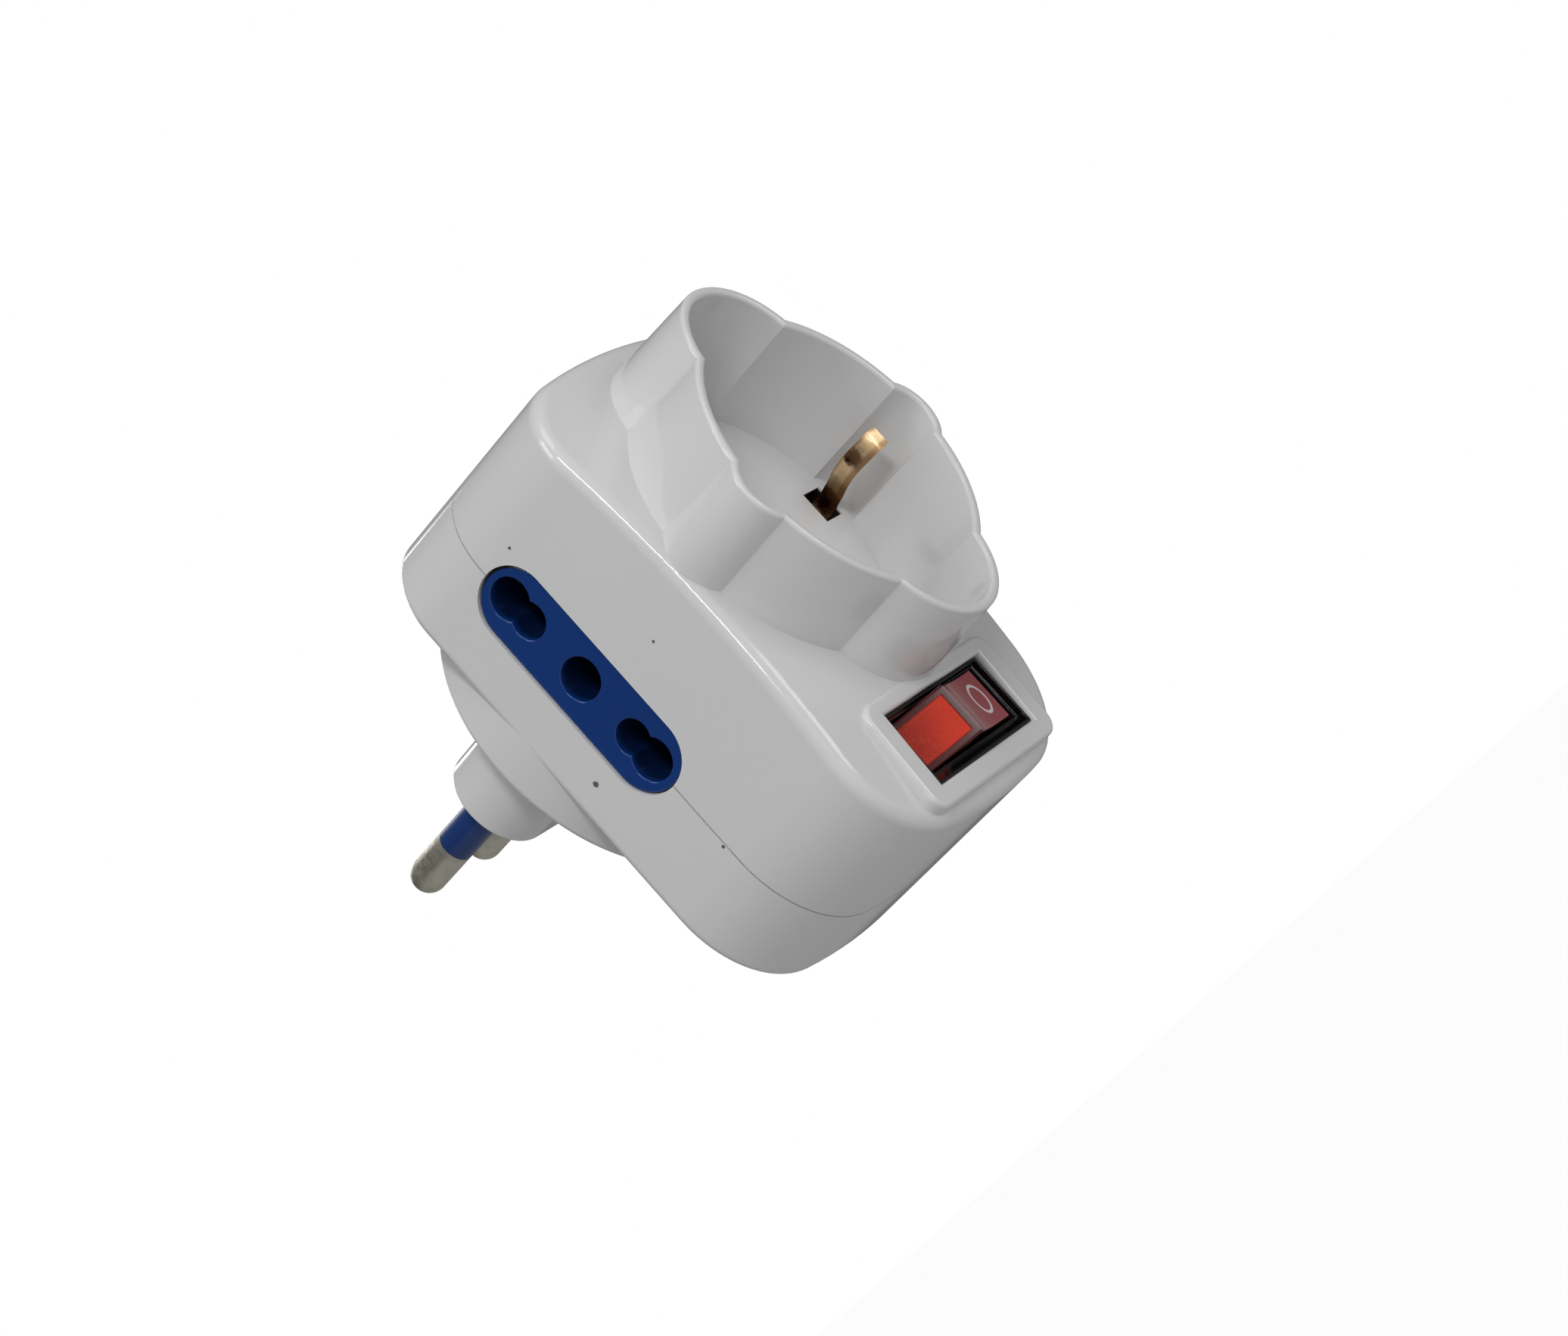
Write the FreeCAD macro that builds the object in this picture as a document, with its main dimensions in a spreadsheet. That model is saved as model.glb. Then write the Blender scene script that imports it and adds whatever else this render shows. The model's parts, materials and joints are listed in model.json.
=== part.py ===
import FreeCAD, Part

import math
import os
import re

import Sketcher
from FreeCAD import Placement, Rotation, Vector

# Switched plug adapter: three round pins in line behind, one earthed universal socket in a
# scalloped collar in front, a two-pitch socket in each side, and an illuminated rocker switch
# at the lower end.
#
# Frame: +Z up, the wall side is +Y and the user's side is -Y. The origin is the middle of the
# plug boss's end face, on the earth pin's axis. "Depth" in the names below is the distance in
# front of that face, so a depth D lies at Y = -D. The plug pins point to +Y.

DOC = FreeCAD.newDocument("switched_plug_adapter")
SHEET = DOC.addObject("Spreadsheet::Sheet", "Sizes")

# Driving dimensions, in millimetres and degrees
SIZES = (
    # the housing's outline, seen from the front
    ("half_width", 24.45),
    ("case_top", 30.3),
    ("case_bottom", 43.6),
    ("top_corner", 11.6),
    ("bottom_corner", 14.0),
    ("end_crown", 110.0),
    # depths of the housing's main planes
    ("disc_depth", 11.6),
    ("back_depth", 17.2),
    ("parting_depth", 30.2),
    ("front_depth", 52.6),
    ("dome_radius", 215.0),
    ("dome_drop", 7.0),
    ("case_wall", 2.2),
    ("case_gap", 0.2),
    ("crown_thickness", 5.8),
    ("front_round", 1.9),
    ("back_round", 1.2),
    ("disc_round", 0.8),
    ("boss_draft", 0.3),
    ("boss_round", 0.4),
    # plug boss and pins
    ("boss_half_length", 19.5),
    ("boss_radius", 7.0),
    ("pin_pitch", 13.0),
    ("pin_radius", 2.5),
    ("pin_length", 19.0),
    ("pin_neck", 1.7),
    ("pin_root", 2.2),
    ("sleeve_length", 9.9),
    ("sleeve_root", 3.0),
    ("pin_chamfer", 0.45),
    ("pin_collar", 3.6),
    ("pin_collar_height", 1.4),
    ("pin_tail", 1.5),
    ("tail_length", 4.0),
    ("slide_fit", 0.05),
    ("part_gap", 0.1),
    # front socket
    ("collar_height", 12.1),
    ("recess_sink", 5.4),
    ("floor_thickness", 2.5),
    ("recess_radius", 19.85),
    ("lobe_radius", 10.0),
    ("lobe_centre", 15.0),
    ("clip_lobe_radius", 4.0),
    ("clip_lobe_centre", 18.0),
    ("collar_wall", 1.25),
    ("collar_flare", 0.75),
    ("rim_round", 0.5),
    ("socket_hole", 2.8),
    ("small_hole", 2.4),
    ("small_pitch", 9.5),
    ("window_inner", 14.7),
    ("window_outer", 18.9),
    ("window_half", 2.3),
    # side sockets
    ("insert_half_length", 17.1),
    ("insert_radius", 5.2),
    ("insert_recess", 0.35),
    ("insert_gap", 0.15),
    ("insert_round", 0.25),
    ("insert_flange", 1.5),
    ("flange_margin", 1.1),
    ("guide_length", 4.6),
    # switch opening and its bezel
    ("switch_drop", 33.15),
    ("bezel_half_width", 16.5),
    ("bezel_half_height", 7.8),
    ("bezel_shift", 0.3),
    ("bezel_sink", 1.0),
    ("bezel_slope", 3.0),
    ("bezel_corner", 2.5),
    ("bezel_round", 0.6),
    ("lip_round", 0.6),
    ("opening_half_width", 12.8),
    ("opening_half_height", 5.3),
    ("switch_seat", 2.0),
    # switch
    ("frame_stand", 1.5),
    ("frame_height", 15.3),
    ("frame_wall", 1.2),
    ("frame_gap", 0.1),
    ("ear_half_width", 14.5),
    ("ear_thickness", 1.2),
    ("pivot_drop", 3.64),
    ("trunnion", 1.2),
    ("rocker_half_length", 10.5),
    ("rocker_half_width", 3.85),
    ("rocker_dip", 0.85),
    ("rocker_height", 6.5),
    ("rocker_slope", 20.0),
    ("rocker_tilt", 8.0),
    ("rocker_skirt", 1.2),
    ("rocker_wall", 1.1),
    ("plunger_radius", 1.2),
    ("plunger_reach", 6.8),
    ("blade_drop", 7.66),
    ("blade_thickness", 0.8),
    ("blade_half_length", 8.0),
    ("blade_half_width", 2.2),
    ("blade_tilt", 4.0),
    ("terminal_reach", 5.5),
    ("terminal_thickness", 0.8),
    ("terminal_half_width", 2.4),
    ("lamp_radius", 1.5),
    # contacts
    ("strip", 0.6),
    ("live_offset", 11.25),
    ("live_half_width", 4.0),
    ("earth_half_width", 2.5),
    ("contact_gap", 2.4),
    ("contact_inner", 7.0),
    ("contact_margin", 0.4),
    ("contact_drop", 2.1),
    ("clip_strip", 0.7),
    ("clip_half_width", 1.3),
    ("clip_offset", 0.6),
    ("clip_root", 18.6),
    ("clip_waist", 18.2),
    ("clip_tip", 20.1),
    ("clip_bend", 8.0),
    ("clip_height", 11.8),
    # contact carrier
    ("carrier_gap", 0.3),
    ("carrier_thickness", 1.5),
    ("carrier_clearance", 0.45),
    ("carrier_half_height", 16.6),
    ("barrier_offset", 5.6),
    ("barrier_thickness", 1.2),
    ("disc_margin", 1.2),
    ("leg_radius", 2.0),
    ("leg_clearance", 0.28),
    # case screws
    ("screw_top_x", 17.5),
    ("screw_top_z", 22.5),
    ("screw_low_x", 17.0),
    ("screw_low_z", 35.0),
    ("screw_radius", 1.2),
    ("screw_head", 2.7),
    ("screw_head_height", 2.2),
    ("screw_post", 3.2),
    ("screw_sink", 6.0),
    ("screw_hold", 7.8),
)

# Dimensions that follow from them
FOLLOWING = (
    ("pin_seat", "disc_depth + case_wall"),
    ("screw_seat", "back_depth + screw_sink"),
    ("screw_end", "parting_depth + screw_hold"),
    ("hollow_depth", "front_depth - crown_thickness"),
    ("recess_floor", "front_depth - recess_sink"),
    ("rim_depth", "front_depth + collar_height"),
    ("clip_bend_depth", "recess_floor + clip_bend"),
    ("clip_end_depth", "recess_floor + clip_height"),
    ("front_contact_end", "recess_floor - floor_thickness - contact_drop"),
    ("carrier_depth", "parting_depth - contact_gap - strip - carrier_gap - carrier_thickness"),
    ("carrier_half_width", "half_width - case_wall - part_gap - insert_flange - guide_length - carrier_clearance"),
    ("contact_outer", "carrier_half_width - contact_margin"),
    ("leg_offset", "(half_width - case_wall - disc_margin) * 0.7071 - leg_radius - leg_clearance"),
    ("bezel_depth", "front_depth - bezel_sink"),
    ("switch_ceiling", "hollow_depth + switch_seat"),
    ("frame_front", "switch_ceiling + frame_stand"),
    ("frame_back", "frame_front - frame_height"),
    ("pivot_depth", "frame_front - pivot_drop"),
    ("blade_depth", "pivot_depth - blade_drop"),
    ("terminal_end", "frame_back - terminal_reach"),
)

for row, (alias, value) in enumerate(SIZES + FOLLOWING, start=1):
    SHEET.set("A%d" % row, alias)
    SHEET.set("B%d" % row, "=" + value if isinstance(value, str) else str(value))
    SHEET.setAlias("B%d" % row, alias)
DOC.recompute()

ALIASES = {alias for alias, _ in SIZES + FOLLOWING}
FRONT = "XZ_Plane"
SIDE = "YZ_Plane"
LEVEL = "XY_Plane"


def linked(text):
    """Return an expression on the size sheet from plain words and numbers."""
    return re.sub(r"[a-z_]+", lambda m: "Sizes." + m[0] if m[0] in ALIASES else m[0], str(text))


def size(text):
    """Return the value of an expression on the size sheet."""
    answer = SHEET.evalExpression(linked(text))
    return float(getattr(answer, "Value", answer))


def flat(x, y):
    """Return a point of a sketch plane."""
    return Vector(x, y, 0)


# Outlines in sketch planes

def circle(x, y, radius):
    """Return one circle."""
    return [Part.Circle(flat(x, y), Vector(0, 0, 1), radius)]


def polygon(points):
    """Return the closed outline through the points."""
    corners = [flat(*point) for point in points]
    return [Part.LineSegment(a, b) for a, b in zip(corners, corners[1:] + corners[:1])]


def rectangle(x0, x1, y0, y1):
    """Return an upright rectangle."""
    return polygon(((x0, y0), (x1, y0), (x1, y1), (x0, y1)))


def rounded_rectangle(half_x, half_y, corner, middle=(0.0, 0.0)):
    """Return a rectangle with round corners."""
    cx, cy = middle
    x, y = half_x - corner, half_y - corner
    bow = corner * math.sqrt(0.5)
    curves = []
    for sx, sy in ((1, 1), (-1, 1), (-1, -1), (1, -1)):
        start, end = ((half_x, y), (x, half_y)) if sx * sy > 0 else ((x, half_y), (half_x, y))
        points = (start, (x + bow, y + bow), end)
        curves.append(Part.Arc(*(flat(cx + sx * px, cy + sy * py) for px, py in points)))
    ends = [(curve.StartPoint, curve.EndPoint) for curve in curves]
    lines = []
    for (_, end), (start, _) in zip(ends, ends[1:] + ends[:1]):
        lines.append(Part.LineSegment(end, start))
    return curves + lines


def stadium(half_length, radius, along_x=False):
    """Return a slot outline about the sketch's origin, its length including the round ends."""
    reach = half_length - radius
    points = (
        ((radius, reach), (0, half_length), (-radius, reach)),
        ((-radius, -reach), (0, -half_length), (radius, -reach)),
    )
    sides = (((-radius, reach), (-radius, -reach)), ((radius, -reach), (radius, reach)))

    def place(point):
        return flat(point[1], point[0]) if along_x else flat(*point)

    arcs = [Part.Arc(*(place(point) for point in arc)) for arc in points]
    lines = [Part.LineSegment(place(a), place(b)) for a, b in sides]
    return arcs + lines


def case_outline(inset=0.0):
    """Return the housing's outline from the front, moved in by inset."""
    half = size("half_width") - inset
    crown = size("end_crown") - inset
    curves = []
    side_ends = []
    for sign, end, corner in ((1, "case_top", "top_corner"), (-1, "case_bottom", "bottom_corner")):
        reach = size(end) - inset
        radius = size(corner) - inset
        crown_centre = reach - crown
        cx = half - radius
        cz = crown_centre + math.sqrt((crown - radius) ** 2 - cx ** 2)
        scale = crown / (crown - radius)
        touch = (cx * scale, crown_centre + (cz - crown_centre) * scale)
        middle = math.hypot(touch[0] + half - 2 * cx, touch[1] - cz)
        bow = (cx + radius * (touch[0] + half - 2 * cx) / middle, cz + radius * (touch[1] - cz) / middle)
        for side in (1, -1):
            points = ((half, cz), bow, touch)
            curves.append(Part.Arc(*(flat(side * x, sign * z) for x, z in points)))
        points = (touch, (0, reach), (-touch[0], touch[1]))
        curves.append(Part.Arc(*(flat(x, sign * z) for x, z in points)))
        side_ends.append(sign * cz)
    for side in (1, -1):
        curves.append(Part.LineSegment(flat(side * half, side_ends[0]), flat(side * half, side_ends[1])))
    return curves


def scallop(grow=0.0):
    """Return the front recess: a circle with a wide lobe above and below and a narrow one each side."""
    round_radius = size("recess_radius") + grow
    curves = []
    cusps = []
    lobes = (("lobe_radius", "lobe_centre"), ("clip_lobe_radius", "clip_lobe_centre"))
    for radius_name, centre_name in lobes:
        radius = size(radius_name) + grow
        centre = size(centre_name)
        reach = (round_radius ** 2 - radius ** 2 + centre ** 2) / (2 * centre)
        cusps.append((math.sqrt(round_radius ** 2 - reach ** 2), reach, centre + radius))
    (wide_x, wide_z, wide_end), (narrow_z, narrow_x, narrow_end) = cusps
    for sign in (1, -1):
        curves.append(Part.Arc(flat(sign * wide_x, sign * wide_z), flat(0, sign * wide_end),
                               flat(-sign * wide_x, sign * wide_z)))
        curves.append(Part.Arc(flat(sign * narrow_x, -sign * narrow_z), flat(sign * narrow_end, 0),
                               flat(sign * narrow_x, sign * narrow_z)))
    middle = (math.atan2(wide_z, wide_x) + math.atan2(narrow_z, narrow_x)) / 2
    bow = (round_radius * math.cos(middle), round_radius * math.sin(middle))
    for sx, sz in ((1, 1), (-1, 1), (-1, -1), (1, -1)):
        points = [(narrow_x, narrow_z), bow, (wide_x, wide_z)]
        if sx * sz < 0:
            points.reverse()
        curves.append(Part.Arc(*(flat(sx * x, sz * z) for x, z in points)))
    return curves


# Bodies and solids of the document

PIECES = []


class Body:
    """One moulded or turned piece, built from sketches."""

    def __init__(self, label):
        self.body = DOC.addObject("PartDesign::Body", label)
        self.body.Label = label
        self.label = label
        self.count = 0
        PIECES.append(self.body)

    def sketch(self, curves, plane=FRONT, offset="0"):
        """Draw closed outlines on a plane that lies offset along its own normal."""
        self.count += 1
        drawing = self.body.newObject("Sketcher::SketchObject", "%s_outline_%d" % (self.label, self.count))
        support = [item for item in self.body.Origin.OriginFeatures if item.Role == plane][0]
        drawing.AttachmentSupport = [(support, "")]
        drawing.MapMode = "FlatFace"
        drawing.setExpression("AttachmentOffset.Base.z", linked(offset))
        for curve in curves:
            index = drawing.addGeometry(curve)
            drawing.addConstraint(Sketcher.Constraint("Block", index))
        return drawing

    def feature(self, kind, name, drawing, length=None, both=False, reverse=False):
        """Add a feature of one sketch and check that it changed the solid."""
        before = self.volume()
        item = self.body.newObject("PartDesign::" + kind, "%s_%s" % (self.label, name))
        item.Profile = drawing
        if length is None:
            item.Type = "ThroughAll"
            item.Midplane = both
        else:
            item.setExpression("Length", linked(length))
            item.Midplane = both
        item.Reversed = reverse
        DOC.recompute()
        if abs(self.volume() - before) < 1e-3:
            raise RuntimeError("%s changed nothing" % item.Name)
        return item

    def volume(self):
        """Return the solid's volume so far."""
        shape = self.body.Shape
        return 0.0 if shape.isNull() else shape.Volume

    def pad(self, name, curves, start, end):
        """Add material between two depths."""
        drawing = self.sketch(curves, offset=start)
        return self.feature("Pad", name, drawing, "(%s) - (%s)" % (end, start))

    def pocket(self, name, curves, start, end):
        """Remove material between two depths."""
        drawing = self.sketch(curves, offset=start)
        return self.feature("Pocket", name, drawing, "(%s) - (%s)" % (end, start), reverse=True)

    def slab(self, name, curves, plane, middle, thickness, cut=False):
        """Add or remove a prism that lies evenly about a plane."""
        drawing = self.sketch(curves, plane, middle)
        return self.feature("Pocket" if cut else "Pad", name, drawing, thickness, both=True)

    def loft(self, name, first, first_depth, second, second_depth):
        """Add a straight loft between two outlines."""
        item = self.body.newObject("PartDesign::AdditiveLoft", "%s_%s" % (self.label, name))
        item.Profile = self.sketch(first, offset=first_depth)
        item.Sections = [self.sketch(second, offset=second_depth)]
        item.Ruled = True
        DOC.recompute()
        return item

    def round(self, name, radius, chosen, kind="Fillet"):
        """Round the edges that chosen accepts."""
        base = self.body.Tip
        names = ["Edge%d" % (i + 1) for i, edge in enumerate(base.Shape.Edges) if chosen(edge)]
        if not names:
            raise RuntimeError("%s found no edge" % name)
        item = self.body.newObject("PartDesign::" + kind, "%s_%s" % (self.label, name))
        item.Base = (base, names)
        item.setExpression("Radius" if kind == "Fillet" else "Size", linked(radius))
        DOC.recompute()
        if not item.isValid():
            raise RuntimeError("%s failed" % item.Name)
        return item


def at_depth(edge, depth, tolerance=0.02):
    """Say whether an edge or face lies in the plane of one depth."""
    box = edge.BoundBox
    return abs(box.YMin + depth) < tolerance and abs(box.YMax + depth) < tolerance


def block(name, x0, x1, d0, d1, z0, z1):
    """Return a box between two places across, two depths and two heights."""
    box = DOC.addObject("Part::Box", name)
    box.setExpression("Length", linked("(%s) - (%s)" % (x1, x0)))
    box.setExpression("Width", linked("(%s) - (%s)" % (d1, d0)))
    box.setExpression("Height", linked("(%s) - (%s)" % (z1, z0)))
    box.setExpression("Placement.Base.x", linked(x0))
    box.setExpression("Placement.Base.y", linked("-(%s)" % d1))
    box.setExpression("Placement.Base.z", linked(z0))
    return box


TURNS = {
    "depth": Rotation(Vector(1, 0, 0), 90),
    "x": Rotation(Vector(0, 1, 0), 90),
    "z": Rotation(),
}


def rod(name, axis, radius, start, end, first, second):
    """Return a cylinder.

    Along "depth" first and second are x and z; along "x" they are depth and z; along "z" they
    are x and depth.
    """
    cylinder = DOC.addObject("Part::Cylinder", name)
    cylinder.Placement = Placement(Vector(), TURNS[axis])
    cylinder.setExpression("Radius", linked(radius))
    cylinder.setExpression("Height", linked("(%s) - (%s)" % (end, start)))
    places = {
        "depth": (first, "-(%s)" % start, second),
        "x": (start, "-(%s)" % first, second),
        "z": (first, "-(%s)" % second, start),
    }[axis]
    for letter, place in zip("xyz", places):
        cylinder.setExpression("Placement.Base." + letter, linked(place))
    return cylinder


def ball(name, radius, x, depth, z):
    """Return a sphere."""
    sphere = DOC.addObject("Part::Sphere", name)
    sphere.setExpression("Radius", linked(radius))
    for letter, place in zip("xyz", (x, "-(%s)" % depth, z)):
        sphere.setExpression("Placement.Base." + letter, linked(place))
    return sphere


def joined(name, parts):
    """Return the union of several solids."""
    item = DOC.addObject("Part::MultiFuse", name)
    item.Shapes = parts
    item.Refine = True
    return item


def without(name, base, tool):
    """Return a solid less another."""
    item = DOC.addObject("Part::Cut", name)
    item.Base = base
    item.Tool = tool
    item.Refine = True
    return item


def keep(item, label):
    """Name a finished piece."""
    item.Label = label
    PIECES.append(item)
    return item


PARTING_BACK = "parting_depth - case_gap / 2"
PARTING_FRONT = "parting_depth + case_gap / 2"
FLOOR_BACK = "recess_floor - floor_thickness"


def figure_eight_holes(place):
    """Return the five holes of a two-pitch socket; place turns (across, along) into a sketch point."""
    big, small = size("socket_hole"), size("small_hole")
    wide, narrow = size("pin_pitch"), size("small_pitch")
    span = wide - narrow
    reach = (span ** 2 + big ** 2 - small ** 2) / (2 * span)
    neck = math.sqrt(big ** 2 - reach ** 2)
    curves = circle(*place(0, 0), big)
    for sign in (1, -1):
        left, right = (-neck, sign * (wide - reach)), (neck, sign * (wide - reach))
        outer = (left, (0, sign * (wide + big)), right)
        inner = (right, (0, sign * (narrow - small)), left)
        for arc in (outer, inner):
            curves.append(Part.Arc(*(flat(*place(*point)) for point in arc)))
    return curves


def screw_places():
    """Return the four screw positions as expressions for x and z."""
    places = []
    for side in ("", "-"):
        places.append((side + "screw_top_x", "screw_top_z"))
        places.append((side + "screw_low_x", "-screw_low_z"))
    return places


def insert_hole():
    """Return the outline of the side inserts' seat in the seam, in a side sketch."""
    middle = -size("parting_depth")
    curves = stadium(size("insert_half_length"), size("insert_radius"))
    for curve in curves:
        curve.translate(flat(middle, 0))
    return curves


def bezel_top(z):
    """Return the depth of the bezel's sloping top at a height."""
    return size("bezel_depth") + (z + size("switch_drop")) * math.tan(math.radians(size("bezel_slope")))


def on_bezel_top(edge):
    """Say whether an edge lies in the bezel's top."""
    return all(abs(-point.Point.y - bezel_top(point.Point.z)) < 0.01 for point in edge.Vertexes)


def add_bezel(shell):
    """Raise the frame round the switch opening, with a top that slopes down to the lower end."""
    middle = -size("switch_drop + bezel_shift")
    outline = rounded_rectangle(size("bezel_half_width"), size("bezel_half_height"), size("bezel_corner"), (0, middle))
    shell.pad("bezel", outline, "hollow_depth + 1", "bezel_depth + 1")
    low, high = middle - size("1.5 * bezel_half_height"), middle + size("bezel_half_height")
    above = -size("bezel_depth") - 3
    corners = ((-bezel_top(low), low), (-bezel_top(high), high), (above, high), (above, low))
    shell.slab("bezel_slope", polygon(corners), SIDE, "0", "2 * bezel_half_width + 2", cut=True)

    def outer_edge(edge):
        return on_bezel_top(edge) and edge.BoundBox.ZMin < high - size("bezel_corner") - 0.1

    shell.round("bezel_round", "bezel_round", outer_edge)


def make_front_shell():
    """Front half of the housing: domed face, scalloped collar, recess, bezel and screw posts."""
    shell = Body("front_shell")
    shell.pad("wall", case_outline(), PARTING_FRONT, "front_depth + 0.5")

    drop = size("dome_drop")
    radius = size("dome_radius")
    reach = size("case_bottom + half_width")
    apex = -size("front_depth")
    above = apex - 4.0
    edge = apex + radius - math.sqrt(radius ** 2 - reach ** 2)
    half_edge = apex + radius - math.sqrt(radius ** 2 - reach ** 2 / 4)
    profile = [Part.Arc(flat(apex, 0), flat(half_edge, reach / 2), flat(edge, reach))]
    corners = (flat(edge, reach), flat(above, reach), flat(above, 0), flat(apex, 0))
    profile += [Part.LineSegment(a, b) for a, b in zip(corners, corners[1:])]
    drawing = shell.sketch(profile, SIDE)
    drawing.setExpression("AttachmentOffset.Base.y", linked("-dome_drop"))
    before = shell.volume()
    dome = shell.body.newObject("PartDesign::Groove", "front_shell_dome")
    dome.Profile = drawing
    dome.ReferenceAxis = (drawing, ["H_Axis"])
    dome.Angle = 360
    DOC.recompute()
    if before - shell.volume() < 1.0:
        raise RuntimeError("the dome cut nothing")

    inner_shapes = Part.__sortEdges__([curve.toShape() for curve in case_outline(0.6)])
    inner_face = Part.Face(Part.Wire(inner_shapes))

    def front_edge(edge):
        ends = [vertex.Point for vertex in edge.Vertexes]
        outer = not any(inner_face.isInside(flat(end.x, end.z), 0.01, True) for end in ends)
        return outer and edge.BoundBox.YMax < -size("parting_depth") - 1

    shell.round("face_round", "front_round", front_edge)
    add_bezel(shell)

    inner = case_outline(size("case_wall"))
    shell.pocket("hollow", inner, "parting_depth - 1", "hollow_depth")
    base = scallop(size("collar_wall + collar_flare"))
    shell.pad("cup", base, FLOOR_BACK, "hollow_depth + 0.5")
    shell.loft("collar", base, "recess_floor + 1", scallop(size("collar_wall")), "rim_depth")
    shell.pocket("recess", scallop(), "recess_floor", "rim_depth + 1")
    bay = rectangle(-size("ear_half_width + part_gap"), size("ear_half_width + part_gap"),
                    -size("switch_drop + opening_half_height + part_gap"),
                    -size("switch_drop - opening_half_height - part_gap"))
    shell.pocket("switch_bay", bay, "parting_depth", "switch_ceiling")
    opening = rectangle(-size("opening_half_width"), size("opening_half_width"),
                        -size("switch_drop + opening_half_height"),
                        -size("switch_drop - opening_half_height"))
    shell.pocket("switch_opening", opening, "parting_depth", "bezel_depth + 2")
    half = size("opening_half_width") + 0.01
    low, high = (-size("switch_drop") + sign * (size("opening_half_height") + 0.01) for sign in (-1, 1))

    def lip(edge):
        box = edge.BoundBox
        inside = box.XMax < half and box.XMin > -half and box.ZMin > low and box.ZMax < high
        return inside and on_bezel_top(edge)

    shell.round("lip_round", "lip_round", lip)

    posts = []
    pilots = []
    for x, z in screw_places():
        posts += circle(size(x), size(z), size("screw_post"))
        pilots += circle(size(x), size(z), size("screw_radius + slide_fit"))
    shell.pad("posts", posts, PARTING_FRONT, "hollow_depth + 0.5")
    shell.pocket("pilots", pilots, "parting_depth", "screw_end + 1")

    shell.pocket("pin_holes", figure_eight_holes(lambda across, along: (across, along)),
                 "recess_floor - floor_thickness - 1", "recess_floor + 1")
    windows = []
    for sign in (1, -1):
        ends = sorted((sign * size("window_inner"), sign * size("window_outer")))
        windows += rectangle(ends[0], ends[1], -size("window_half"), size("window_half"))
    shell.pocket("clip_windows", windows, "recess_floor - floor_thickness - 1", "recess_floor + 1")
    shell.slab("insert_seats", insert_hole(), SIDE, "0", "2 * half_width + 2", cut=True)

    rim = size("rim_depth")
    shell.round("rim_round", "rim_round", lambda edge: at_depth(edge, rim))
    return shell


def make_rear_shell():
    """Rear half of the housing: back wall, round disc, hollow plug boss and screw wells."""
    shell = Body("rear_shell")
    shell.pad("wall", case_outline(), "back_depth", PARTING_BACK)
    back = size("back_depth")
    shell.round("back_round", "back_round", lambda edge: at_depth(edge, back))
    shell.pad("disc", circle(0, 0, size("half_width")), "disc_depth", "back_depth + 2")
    disc = size("disc_depth")
    shell.round("disc_round", "disc_round", lambda edge: at_depth(edge, disc))
    boss_base = stadium(size("boss_half_length + boss_draft"), size("boss_radius + boss_draft"), along_x=True)
    boss_end = stadium(size("boss_half_length"), size("boss_radius"), along_x=True)
    shell.loft("boss", boss_end, "0", boss_base, "disc_depth + 1")
    shell.round("boss_round", "boss_round", lambda edge: at_depth(edge, 0.0))

    wall = size("case_wall")
    shell.pocket("hollow", case_outline(wall), "back_depth + case_wall", "parting_depth + 1")
    shell.pocket("disc_hollow", circle(0, 0, size("half_width - case_wall - disc_margin")),
                 "disc_depth + case_wall", "back_depth + case_wall + 1")
    shell.pocket("boss_hollow", stadium(size("boss_half_length") - wall, size("boss_radius") - wall, along_x=True),
                 "case_wall", "disc_depth + case_wall + 1")

    tubes = []
    bores = []
    for index in (-1, 0, 1):
        x = index * size("pin_pitch")
        tubes += circle(x, 0, size("pin_radius") + wall)
        bores += circle(x, 0, size("pin_root + slide_fit"))
    shell.pad("pin_tubes", tubes, "case_wall / 2", "pin_seat")
    shell.pocket("pin_bores", bores, "-1", "pin_seat + 1")
    bore = size("pin_root + slide_fit")

    def pin_mouth(edge):
        return at_depth(edge, 0.0) and abs(getattr(edge.Curve, "Radius", 0) - bore) < 0.001

    shell.round("pin_chamfer", "pin_chamfer", pin_mouth, kind="Chamfer")

    posts = []
    heads = []
    shanks = []
    for x, z in screw_places():
        posts += circle(size(x), size(z), size("screw_post") + 0.6)
        heads += circle(size(x), size(z), size("screw_head") + 0.2)
        shanks += circle(size(x), size(z), size("screw_radius") + 0.4)
    shell.pad("posts", posts, "back_depth + case_wall / 2", PARTING_BACK)
    shell.pocket("screw_wells", heads, "back_depth - 1", "screw_seat")
    shell.pocket("screw_holes", shanks, "screw_seat - 1", "parting_depth + 1")
    shell.slab("insert_seats", insert_hole(), SIDE, "0", "2 * half_width + 2", cut=True)
    return shell


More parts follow.
